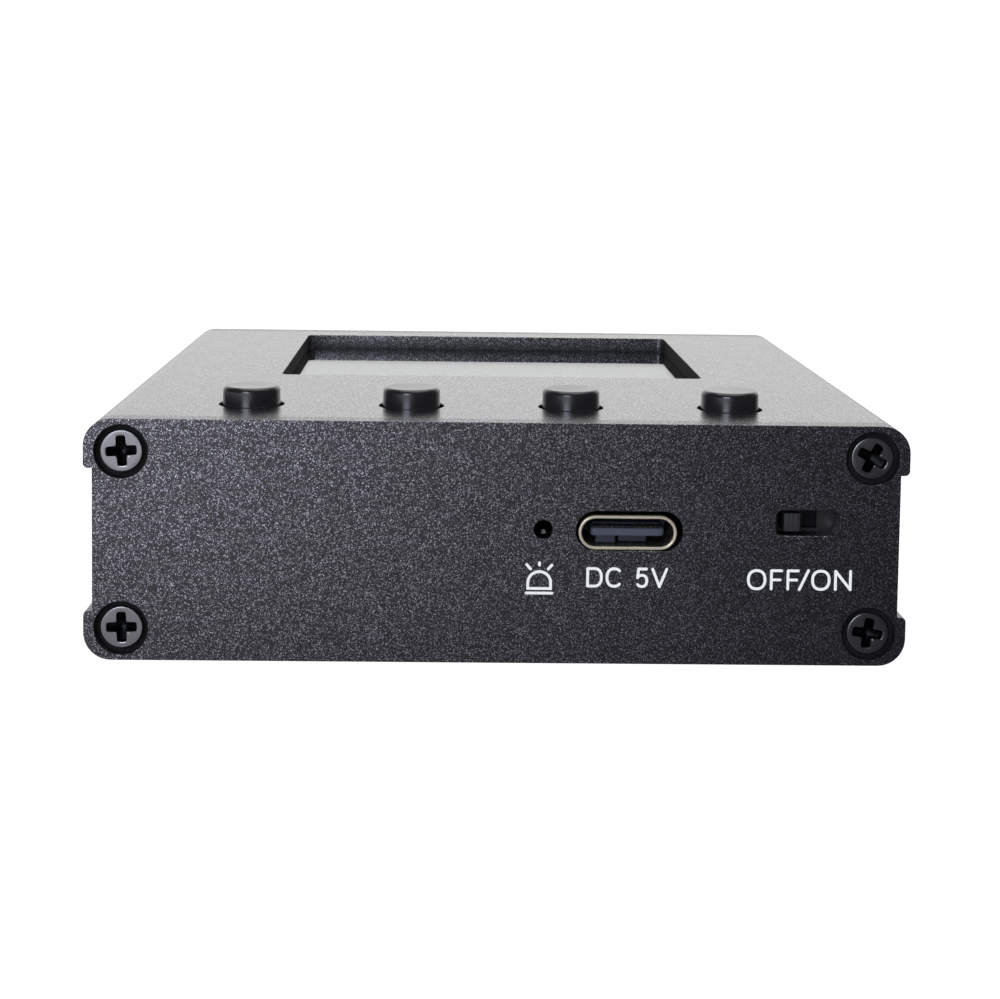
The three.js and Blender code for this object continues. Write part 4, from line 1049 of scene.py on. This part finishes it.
def usb_insulator(x, z, ports):
    """Tongue with a ridge on both sides and a root, the blocks under it, and the plug at the back."""
    low, high = box_of("usb_tongue")
    front, rear, width, thick = low[1], high[1], ports.tongue_width, ports.tongue_thickness
    blocks_z = z - ports.usb_height / 2 + ports.usb_wall + 0.47 * MM
    edge, flat, raised = 0.1 * MM, thick / 2, thick / 2 + 0.12 * MM
    blade, blade_corner, blade_end = (width, rear - front - 1 * MM), 0.5 * MM, rear - 1 * MM
    ridge, ridge_corner, ridge_start = (width * 0.95, rear - front - 3 * MM), 0.2 * MM, front + 1 * MM
    root, root_corner = (width * 0.97, thick * 1.9), 0.25 * MM
    root_start, root_end = rear - 3.5 * MM, rear - 1.5 * MM
    plug, plug_start, blocks_end = (high - low)[[0, 2]], rear - 2.2 * MM, rear - 2 * MM
    shells = [
        bar("Z", blade, blade_corner, (x, (front + blade_end) / 2), z - flat, z + flat, edge, edge, 6),
        bar("Z", ridge, ridge_corner, (x, (ridge_start + rear) / 2), z - raised, z + raised, edge, edge, 4),
        bar("Y", root, root_corner, (x, z), root_start, root_end, edge, 0.0, 4),
        bar("Y", plug, plug[1], (x, z), plug_start, rear, edge, edge, 16),
    ]
    for offset, wide, tall, setback in USB_BLOCKS:
        size, middle = (wide * MM, tall * MM), (x + offset * MM, blocks_z)
        shells.append(bar("Y", size, edge, middle, front + setback * MM, blocks_end, edge))
    return shells


def usb_contacts(x, z, ports):
    """Twelve contacts on each side of the tongue, each sunk a little into it."""
    half, sunk, corner, setback = ports.tongue_thickness / 2, 0.01 * MM, 0.06 * MM, 1.25 * MM
    size, y = (ports.contact_width, ports.contact_length), box_of("usb_tongue")[0][1] + setback
    shells = []
    for place in np.arange(-5.5, 6) * ports.contact_pitch:
        for face in (z - half, z + half):
            proud = ports.contact_height if face > z else -ports.contact_height
            low, high = sorted((face, face + proud))
            shells.append(bar("Z", size, corner, (x + place, y), low - sunk, high))
    return shells


class GENERATOR_OT_ports(bpy.types.Operator):
    """Builds the USB receptacle's shell, its insulator and its contacts"""

    bl_idname = "generator.ports"
    bl_label = "Ports"

    def execute(self, context):
        ports = context.scene.generator_ports
        low, high = box_of("usb_shell")
        front, back = low[1], high[1]
        x, z = middle_of("usb_shell")[0], box_of("main_board")[1][2] + ports.usb_height / 2
        shells = [usb_sleeve(x, z, front, back, ports)]
        tab, tab_corner, tab_top = (ports.usb_wall * 0.96, ports.tab), 0.05 * MM, z - 0.2 * MM
        beside = (ports.usb_width - ports.usb_wall) / 2
        for tab_x in (x - beside, x + beside):
            for depth_share in (0.42, 0.8):
                middle = (tab_x, front + (back - front) * depth_share)
                shells.append(bar("Z", tab, tab_corner, middle, low[2], tab_top))
        piece = new_piece("usb_sleeve", shells)
        depth = read_points(piece)[:, 1] - front
        keep_values(piece, "turning", depth)
        # Painted shade inside the shell: the sunk mask darkens it beyond a lit strip at the front.
        lit, fade, darkest = 0.12 * MM, 0.15 * MM, 0.9
        keep_values(piece, "sunk", darkest * np.clip((depth - lit) / fade, 0, 1))
        finish_piece(piece, "case", finish("satin plating"), "usb_shell")
        shells, material = usb_insulator(x, z, ports), finish("glass filled nylon")
        make_piece("usb_insulator", shells, "case", material, "usb_tongue")
        make_piece("usb_contacts", usb_contacts(x, z, ports), "case", finish("gold plating"))
        return {"FINISHED"}


class GENERATOR_OT_lamp(bpy.types.Operator):
    """Builds the charging lamp that shows through its small hole"""

    bl_idname = "generator.lamp"
    bl_label = "Charging lamp"

    def execute(self, context):
        ports = context.scene.generator_ports
        low, high = box_of("charge_lamp")
        x, y = middle_of("charge_lamp")[:2]
        base_share, sunk, corner, edge = 0.45, 0.02 * MM, 0.06 * MM, 0.04 * MM
        base, crown = low[2] + (high[2] - low[2]) * base_share, high[2] + ports.lamp_rise
        half, foot = ports.lamp_dome / 2, base - sunk
        dome = arc(0, 0, 1, 0, 90, 11) * (half, crown - base) + (0, base)
        shells = [
            bar("Z", (high - low)[:2], corner, (x, y), low[2], base, 0.0, edge, steps=2),
            revolve("Z", [(0, foot), (half, foot), *dome], (x + ports.lamp_right, y, 0), 48),
        ]
        make_piece("lamp_lens", shells, "case", finish("lamp resin"), "charge_lamp")
        return {"FINISHED"}


class GENERATOR_OT_switch(bpy.types.Operator):
    """Builds the lever of the slide switch and dresses its cover and housing"""

    bl_idname = "generator.switch"
    bl_label = "Slide switch"

    def execute(self, context):
        ports = context.scene.generator_ports
        low, high = box_of("switch_lever")
        x, _, z = middle_of("switch_lever")
        front, inner, half = low[1], high[1] - ports.carriage_depth, ports.lever_width / 2
        edge, knob_edge, corner_radius, overlap, waves = 0.1 * MM, 0.09 * MM, 0.2 * MM, 0.2 * MM, 1.8
        tall = ports.lever_height / 2
        side, corner = half - edge, front + edge
        across = np.linspace(-side, side, 61)
        grooves = np.clip(np.cos(across / half * 2 * math.pi * waves), -1, 0) ** 2
        outline = np.concatenate(
            [
                np.stack([x + across, front + ports.lever_groove * grooves], 1),
                arc(x + side, corner, edge, -75, 0, 4),
                [(x + half, inner + overlap), (x - half, inner + overlap)],
                arc(x - side, corner, edge, 180, 255, 4),
            ]
        )
        shells = [
            prism("Z", outline, z - tall, z + tall, knob_edge, knob_edge),
            bar("Y", (high - low)[[0, 2]], corner_radius, (x, z), inner, high[1], edge, edge, 4),
        ]
        make_piece("switch_knob", shells, "switch", finish("lever"), "switch_lever")
        # The cover's dark steel colour is painted shade.
        dress(finish("shade darkened steel"), "switch_cover")
        dress(finish("moulded black"), "switch_housing")
        return {"FINISHED"}


# Display
class GENERATOR_OT_display(bpy.types.Operator):
    """Builds the window pane and dresses the display under it"""

    bl_idname = "generator.display"
    bl_label = "Display"

    def execute(self, context):
        case = context.scene.generator_case
        low, high = box_of("display_window")
        size, middle, edge = (high - low)[:2], middle_of("display_window")[:2], 0.06 * MM
        pane = bar("Z", size, case.opening_radius, middle, low[2], high[2], edge, edge, 6, 2)
        make_piece("clear_pane", [pane], "case", finish("clear pane"), "display_window")
        frame_width = 0.8 * MM
        active = size - 2 * (case.opening_margin + frame_width)
        dress(polariser_material(middle, active), "lcd_glass")
        dress(finish("pouch foil"), "lcd_tray")
        dress(finish("amber film"), "display_tail")
        dress(finish("natural nylon"), "tail_socket")
        return {"FINISHED"}


# Output jack
def jack_barrel(centre, back, face, end, output, columns=96):
    """Threaded barrel as a ring of rows: its back, the thread between two narrow necks, whose
    radius falls by a triangle wave of height / pitch + angle / a full turn, the chamfer, and the
    mouth down to the dielectric's bore."""
    turn = full_turn(columns)
    radius, bore, tube, edge = output.barrel / 2, output.bore / 2, output.tube / 2, 0.08 * MM
    neck, thread_in, shoulder_in, shoulder_low = radius - output.thread, 0.25 * MM, 0.05 * MM, 0.12 * MM
    lead, run_in, run_out = 0.2 * MM, 0.05 * MM, 0.02 * MM
    start, stop = face + lead, end - output.chamfer - thread_in
    rows = [(tube, back), (neck, back), (neck, start - run_in)]
    for height in np.arange(start, stop, output.pitch / 8):
        wave = triangle_wave(height / output.pitch + turn / (2 * math.pi))
        rows.append((radius - output.thread * wave, height))
    shoulder = (radius - shoulder_low, stop + thread_in - shoulder_in)
    rows += [(neck, stop + run_out), shoulder, (radius - output.chamfer, end)]
    rows += [(bore + edge, end), (bore, end - edge), (bore, end - output.mouth), (tube, end - output.mouth)]
    return spin(rows, turn, centre, closed=True)


def jack_flange(centre, width, back, output):
    """Square flange with a round hole, whose points start beside the square's first one."""
    corner = 0.3 * MM
    square = rectangle(width, width, corner, centre[0], centre[2], 4)
    hole = circle(output.tube / 2, centre[0], centre[2], len(square))
    hole = np.roll(hole, -np.argmin(np.hypot(*(hole - square[0]).T)), 0)
    front = back + output.flange
    loops = [along("Y", *loop) for loop in ((hole, back), (square, back), (square, front), (hole, front))]
    return stack_shell(loops, closed=True)


def jack_legs(centre, width, start, end, output):
    """Four legs in pairs that hold the board's edge between them."""
    board_low, board_high = box_of("main_board")
    leg, gap, edge = output.leg, 0.05 * MM, 0.1 * MM
    beside = (width - leg) / 2 - edge
    places = (board_high[2] + gap + leg / 2, board_low[2] - gap - leg / 2)
    return [
        bar("Y", (leg, leg), edge, (centre[0] + side * beside, z), start, end, edge, 0.0, 2, 2)
        for side in (-1, 1)
        for z in places
    ]


def nut_shell(centre, low, high, bore):
    """Hexagon nut as a ring of loops. Its corners fall away at 30 degrees outside the circle that
    touches the flats, and its bore has a bevel at both ends."""
    flat, lower, upper = (high[0] - low[0]) / 2, low[1], high[1]
    turn = np.radians(np.arange(0, -420, -60))
    corners = np.stack([np.sin(turn), np.cos(turn)], 1) * flat / math.cos(math.pi / 6)
    step = np.arange(16)[:, None] / 16
    hexagon = np.concatenate([a * (1 - step) + b * step for a, b in zip(corners, corners[1:])])
    away = np.linalg.norm(hexagon, axis=1)
    rim_radius, bevel, depth = flat - 0.05 * MM, 1.06, 0.2 * MM
    fall = np.maximum(away - rim_radius, 0) * math.tan(math.radians(30))
    rim, inner = (hexagon / away[:, None] * radius for radius in (rim_radius, bore))
    rows = [
        (inner * bevel, lower),
        (rim, lower),
        (hexagon, lower + fall),
        (hexagon, upper - fall),
        (rim, upper),
        (inner * bevel, upper),
        (inner, upper - depth),
        (inner, lower + depth),
    ]
    return stack_shell([along("Y", plane + centre[[0, 2]], height) for plane, height in rows], closed=True)


class GENERATOR_OT_output(bpy.types.Operator):
    """Builds the coaxial output jack and its nut, and dresses its washer, dielectric and contact"""

    bl_idname = "generator.output"
    bl_label = "Output jack"

    def execute(self, context):
        output = context.scene.generator_output
        low, high = box_of("sma_body")
        centre = np.array([middle_of("sma_body")[0], 0, middle_of("sma_nut")[2]])
        width, back = high[0] - low[0], box_of("sma_dielectric")[0][1]
        barrel = jack_barrel(centre, back, box_of("rf_panel")[1][1], high[1], output)
        legs = jack_legs(centre, width, low[1], back + output.flange / 2, output)
        piece = new_piece("output_jack", [barrel, jack_flange(centre, width, back, output), *legs])
        keep_turning(piece, centre)
        finish_piece(piece, "case", finish("gold plating"), "sma_body", 30)
        play = 0.12 * MM
        piece = new_piece("output_nut", [nut_shell(centre, *box_of("sma_nut"), output.barrel / 2 + play)])
        keep_turning(piece, centre)
        finish_piece(piece, "case", finish("gold plating"), "sma_nut", 25)
        dress(finish("plated steel"), "sma_washer")
        dress(finish("fluoropolymer"), "sma_dielectric")
        dress(finish("gold plating"), "sma_contact")
        return {"FINISHED"}


# Battery
def lead_shell(path, radius, sides=20):
    """Round lead along a path: each loop lies across the path's direction, turned about it by a
    level normal and the normal across both."""
    way = np.gradient(path, axis=0, edge_order=2)
    level = np.cross(way, (0, 0, 1))
    level /= np.linalg.norm(level, axis=1, keepdims=True)
    steep = np.cross(level, way)
    steep /= np.linalg.norm(steep, axis=1, keepdims=True)
    turn = full_turn(sides)[:, None]
    across = np.cos(turn) * level[:, None] + np.sin(turn) * steep[:, None]
    return stack_shell(path[:, None] + radius * across)


def lead_path(start, end, bend, count=41):
    """Cubic curve that leaves the start along X and arrives at the end along Y. With t from 0 to 1
    its four points weigh (1 - t)^3, 3 (1 - t)^2 t, 3 (1 - t) t^2 and t^3."""
    t = np.linspace(0, 1, count)[:, None]
    leaving = np.array([end[0], start[1], start[2]])
    arriving = end - (0, (end[1] - start[1]) * bend, 0)
    return (1 - t) ** 3 * start + 3 * (1 - t) ** 2 * t * leaving + 3 * (1 - t) * t**2 * arriving + t**3 * end


class GENERATOR_OT_battery(bpy.types.Operator):
    """Builds the pouch cell, its foam pad and its two leads"""

    bl_idname = "generator.battery"
    bl_label = "Battery"

    def execute(self, context):
        battery = context.scene.generator_battery
        low, high = box_of("battery_cell")
        size, middle = (high - low)[1:], middle_of("battery_cell")[1:]
        shoulder, edge = high[0] - battery.terrace, battery.end_rounding
        terrace = (size[0] - 2 * battery.rounding, battery.terrace_height)
        terrace_corner, terrace_edge = 0.4 * MM, 0.3 * MM
        shells = [
            bar("X", size, battery.rounding, middle, low[0], shoulder, edge, edge, 8, 6),
            bar("X", terrace, terrace_corner, middle, shoulder - edge, high[0], 0.0, terrace_edge, 4),
        ]
        make_piece("pouch_cell", shells, "case", finish("pouch foil"), "battery_cell")

        low, high = box_of("battery_pad")
        pad, edge = middle_of("battery_pad")[:2], 0.12 * MM
        shells = [bar("Z", (high - low)[:2], battery.pad_corner, pad, low[2], high[2], edge, edge, 6)]
        make_piece("foam_pad", shells, "case", finish("cell foam"), "battery_pad")

        radius, plug = battery.lead / 2, middle_of("battery_inlet")[2]
        for kind in ("red", "black"):
            low, high = box_of(f"{kind}_lead")
            start = np.array([low[0], low[1] + radius * math.cos(math.pi / 6), middle[1]])
            path = lead_path(start, np.array([high[0] - radius, high[1], plug]), battery.bend)
            node, material = f"{kind}_lead", finish(f"{kind} silicone")
            make_piece(f"{kind}_wire", [lead_shell(path, radius)], "case", material, node)
        return {"FINISHED"}


# Inner pieces
class GENERATOR_OT_inside(bpy.types.Operator):
    """Dresses the boards, the radio section, the chips and the battery's connector"""

    bl_idname = "generator.inside"
    bl_label = "Inside"

    def execute(self, context):
        dress(finish("solder mask"), "main_board", "display_board")
        dress(finish("moulded black"), "board_socket", "board_header")
        dress(finish("plated steel"), "shield_frame", "shield_lid", "reference_oscillator")
        dress(finish("chip epoxy"), "synthesiser_chip", "processor_chip", "charger_chip", "power_inductor")
        dress(finish("natural nylon"), "battery_inlet", "battery_plug")
        return {"FINISHED"}


# Legends
def stroke_shell(path, width, back, front, closed=False, steps=8):
    """Flat line of ink along a path of points: its sides lie half the width to each side of the
    path, and its ends are half rounds."""
    path = np.asarray(path, float)
    if closed:
        outer, inner = grow(path, width / 2), grow(path, -width / 2)
        loops = ((inner, front), (outer, front), (outer, back), (inner, back))
        return stack_shell([along("Y", *loop) for loop in loops], closed=True)
    way = np.gradient(path, axis=0)
    way /= np.linalg.norm(way, axis=1, keepdims=True)
    across = np.stack([way[:, 1], -way[:, 0]], 1) * width / 2
    turn = np.linspace(0, math.pi, steps + 1)[1:-1, None]
    end = path[-1] + np.cos(turn) * across[-1] + np.sin(turn) * way[-1] * width / 2
    start = path[0] - np.cos(turn) * across[0] - np.sin(turn) * way[0] * width / 2
    outline = np.concatenate([path + across, end, (path - across)[::-1], start])
    return stack_shell([along("Y", outline, back), along("Y", outline, front)])


def bowl(start, end, count=41):
    """Rounded bowl in the unit square: x and y are 1/2 + 1/2 * sign * |cos or sin| ** 0.86."""
    angle = np.radians(np.linspace(start, end, count))
    way = np.stack([np.cos(angle), np.sin(angle)], 1)
    return 0.5 + 0.5 * np.sign(way) * np.abs(way) ** 0.86


# Each letter's width, as a share of its height, and its strokes in the unit square
ALPHABET = {
    "O": (0.78, [bowl(0, 351)]),
    "F": (0.48, [[(0, 0), (0, 1)], [(0, 1), (1, 1)], [(0, 0.5), (0.86, 0.5)]]),
    "/": (0.42, [[(0, -0.02), (1, 1.02)]]),
    "N": (0.70, [[(0, 0), (0, 1)], [(0, 1), (1, 0)], [(1, 0), (1, 1)]]),
    "D": (0.72, [[(0, 0), (0, 1)], bowl(-90, 90), [(0, 0), (0.5, 0)], [(0, 1), (0.5, 1)]]),
    "C": (0.76, [bowl(46, 314)]),
    "5": (0.52, [[(0.94, 1), (0.16, 1)], [(0.16, 1), (0.06, 0.52)], bowl(150, -142) * (1, 0.64)]),
    "V": (0.74, [[(0, 1), (0.5, 0)], [(0.5, 0), (1, 1)]]),
    " ": (0.22, []),
}
GAP, NARROW_GAPS = 0.3, {"F/": 0.06, "/O": 0.2}

# Words on the plate, with their left and right edge and their foot and top in mm
WORDS = {
    "supply_legend": ("DC 5V", 8.1, 15.5, 7.05, 8.91),
    "switch_legend": ("OFF/ON", 22.68, 32.2, 6.93, 8.86),
}

# The lamp sign's straight strokes, from and to (x, z) in mm, with x from the sign's middle
SIGN_STROKES = (
    ((-1.17, 6.49), (1.17, 6.49)),
    ((0, 9.06), (0, 9.27)),
    ((-0.8, 8.7), (-1.15, 9.09)),
    ((0.8, 8.7), (1.12, 9.06)),
)


def word_shells(word, left, right, base, top, width, back, front):
    """Strokes of a word set between two edges and two heights. Letters stand side by side at their
    own widths, with gaps, and the whole is stretched to the edges. Each stroke lies a little behind
    the one before, so that no two share a plane."""
    layer = 0.002 * MM
    places, reach = [], 0.0
    for letter, following in zip(word, word[1:] + " "):
        places.append(reach)
        reach += ALPHABET[letter][0] + NARROW_GAPS.get(letter + following, GAP)
    scale = (right - left - width) / (places[-1] + ALPHABET[word[-1]][0])
    shells = []
    for letter, place in zip(word, places):
        letter_width, strokes = ALPHABET[letter]
        for stroke in strokes:
            unit = np.asarray(stroke, float)
            x = left + width / 2 + (place + unit[:, 0] * letter_width) * scale
            z = base + width / 2 + unit[:, 1] * (top - base - width)
            over = front - layer * len(shells)
            shells.append(stroke_shell(np.stack([x, z], 1), width, back, over, letter == "O"))
    return shells


class GENERATOR_OT_legends(bpy.types.Operator):
    """Prints the lamp sign, the supply and the switch positions on the port plate"""

    bl_idname = "generator.legends"
    bl_label = "Legends"

    def execute(self, context):
        legends = context.scene.generator_legends
        face = box_of("port_panel")[0][1]
        sunk, sign_left = 0.01 * MM, 0.3 * MM
        line = (legends.stroke, face + sunk, face - legends.proud)
        x = middle_of("charge_lamp")[0] - sign_left
        half, foot, crown = 1.03 * MM, 6.91 * MM, 8.46 * MM
        dome = [(x - half, foot), (x + half, foot), *arc(x, crown - half, half, 0, 180, 32)]
        shells = [stroke_shell(dome, *line, closed=True)]
        shells += [stroke_shell(np.array(ends) * MM + (x, 0), *line) for ends in SIGN_STROKES]
        make_piece("lamp_sign", shells, "case", finish("legend ink"), sharp=32)
        for name, (word, *edges) in WORDS.items():
            shells = word_shells(word, *(edge * MM for edge in edges), *line)
            make_piece(name, shells, "case", finish("legend ink"), sharp=32)
        return {"FINISHED"}


# Studio
def add_lamp(name, power, size, place, target, tint=(1, 1, 1)):
    """Rectangular lamp at a place, with its light towards the target."""
    lamp = bpy.data.lights.new(name, "AREA")
    lamp.energy, lamp.color = power, tint
    lamp.shape = "RECTANGLE"
    lamp.size, lamp.size_y = size
    holder = new_object(name, lamp)
    holder.location = place
    holder.rotation_euler = (Vector(target) - Vector(place)).to_track_quat("-Z", "Y").to_euler()


def studio_world(stage):
    """Even light for matt surfaces, and plain white where the camera or glass looks past the
    object. Mirrors see the studio darken towards the front, where the photographer stands."""
    world = bpy.data.worlds.new("studio")
    bpy.context.scene.world = world
    tree, output = empty_tree(world)
    ray = add_node(tree, "LightPath").outputs
    way = add_node(tree, "TexCoord").outputs["Generated"]
    ahead = add_node(tree, "SeparateXYZ", Vector=way).outputs["Y"]
    strengths = (rescale(tree, ahead, 0.45, 0.93, 0.02, 0.9), stage.sky, 1.02)
    room, even, white = (
        add_node(tree, "Background", Color=(1, 1, 1, 1), Strength=value).outputs[0] for value in strengths
    )
    seen = calculate(tree, "MAXIMUM", ray["Is Camera Ray"], ray["Is Transmission Ray"])
    lit = add_node(tree, "MixShader", _0=ray["Is Diffuse Ray"], _1=room, _2=even).outputs[0]
    feed(tree, output, Surface=add_node(tree, "MixShader", _0=seen, _1=lit, _2=white).outputs[0])


def floor_material(stage):
    """Pale floor that keeps the object's shadow and is brightened to the white round it. Mirrors
    see a pool of light on its left, which fades to the right and towards the object."""
    material = bpy.data.materials.new("studio floor")
    tree, output = empty_tree(material)
    ray = add_node(tree, "LightPath").outputs
    where = add_node(tree, "SeparateXYZ", Vector=add_node(tree, "TexCoord").outputs["Object"]).outputs
    aside = rescale(tree, where["X"], -0.06, 0.04, 0.8, 0.06)
    ahead = rescale(tree, where["Y"], -0.15, -0.03, 1.2, 0.55)
    pool = calculate(tree, "MULTIPLY", aside, ahead)
    matt = add_node(tree, "BsdfDiffuse", Color=(*stage.floor_colour, 1)).outputs[0]
    white = add_node(tree, "Emission", Color=(1, 1, 1, 1), Strength=1.16).outputs[0]
    mirrored = add_node(tree, "Emission", Color=(0.9, 0.88, 1.0, 1), Strength=pool).outputs[0]
    part = calculate(tree, "MULTIPLY", ray["Is Camera Ray"], 0.82)
    seen = add_node(tree, "MixShader", _0=part, _1=matt, _2=white).outputs[0]
    mixed = add_node(tree, "MixShader", _0=ray["Is Glossy Ray"], _1=seen, _2=mirrored).outputs[0]
    feed(tree, output, Surface=mixed)
    return material


def add_camera():
    """Camera of the photograph: its place, its turn as pitch, roll and yaw, its focal length and
    the middle of its picture in pixels, all from a fit to the object's corners."""
    pitch, roll, yaw = (math.radians(turn) for turn in (4.0413, 0.7777, -1.0519))
    place = Vector((-4.2121, -192.7639, 48.6771)) * MM
    focal, width, height, middle_x, middle_y = 1774.27, 1000, 999, 486.58, 250.0
    forward = Vector((-math.cos(pitch) * math.sin(yaw), math.cos(pitch) * math.cos(yaw), -math.sin(pitch)))
    above = Vector((-math.sin(pitch) * math.sin(yaw), math.sin(pitch) * math.cos(yaw), math.cos(pitch)))
    level = Vector((math.cos(yaw), math.sin(yaw), 0))
    right = math.cos(roll) * level + math.sin(roll) * above
    up = -math.sin(roll) * level + math.cos(roll) * above
    data = bpy.data.cameras.new("camera")
    data.sensor_width = 36
    data.lens = focal / width * data.sensor_width
    data.shift_x = (width / 2 - middle_x) / width
    data.shift_y = (middle_y - height / 2) / width
    data.clip_start, data.clip_end = 0.005, 50
    camera = new_object("camera", data)
    camera.matrix_world = Matrix.Translation(place) @ Matrix((right, up, -forward)).transposed().to_4x4()
    bpy.context.scene.camera = camera


class GENERATOR_OT_stage(bpy.types.Operator):
    """Sets up the floor, the lamps, the studio and the camera"""

    bl_idname = "generator.stage"
    bl_label = "Studio"

    def execute(self, context):
        stage = context.scene.generator_stage
        half = stage.floor_size / 2
        corners = [(-half, -half, 0), (half, -half, 0), (half, half, 0), (-half, half, 0)]
        mesh = bpy.data.meshes.new("floor")
        mesh.from_pydata(corners, [], [(0, 1, 2, 3)])
        floor = new_object("floor", mesh)
        floor.data.materials.append(floor_material(stage))
        studio_world(stage)
        middle = (0, 0, 0.01)
        add_lamp("key lamp", stage.key_power, (0.2, 0.26), (-0.17, -0.5, 0.18), middle, (0.8, 0.87, 1.0))
        add_lamp("fill lamp", stage.fill_power, (0.7, 0.7), (0.05, 0.1, 0.75), middle)
        add_camera()
        context.scene.view_settings.view_transform = "Standard"
        return {"FINISHED"}


class GENERATOR_PT_panel(bpy.types.Panel):
    """Lists the pieces of the generator and their settings"""

    bl_idname = "GENERATOR_PT_panel"
    bl_label = "Signal generator"
    bl_space_type = "VIEW_3D"
    bl_region_type = "UI"
    bl_category = "Generator"

    def draw(self, context):
        for operator in OPERATORS:
            self.layout.operator(operator.bl_idname)
        for name, group in SETTINGS.items():
            box = self.layout.box()
            for key in group.__annotations__:
                box.prop(getattr(context.scene, name), key)


OPERATORS = (
    GENERATOR_OT_stage,
    GENERATOR_OT_case,
    GENERATOR_OT_plates,
    GENERATOR_OT_screws,
    GENERATOR_OT_keys,
    GENERATOR_OT_ports,
    GENERATOR_OT_lamp,
    GENERATOR_OT_switch,
    GENERATOR_OT_display,
    GENERATOR_OT_output,
    GENERATOR_OT_battery,
    GENERATOR_OT_inside,
    GENERATOR_OT_legends,
)
CLASSES = (*SETTINGS.values(), *OPERATORS, GENERATOR_PT_panel)


def register():
    for made in CLASSES:
        bpy.utils.register_class(made)
    for name, group in SETTINGS.items():
        setattr(bpy.types.Scene, name, bpy.props.PointerProperty(type=group))


def unregister():
    for name in SETTINGS:
        delattr(bpy.types.Scene, name)
    for made in reversed(CLASSES):
        bpy.utils.unregister_class(made)


def main():
    register()
    for operator in OPERATORS:
        family, name = operator.bl_idname.split(".")
        getattr(getattr(bpy.ops, family), name)()


if __name__ == "__main__":
    main()
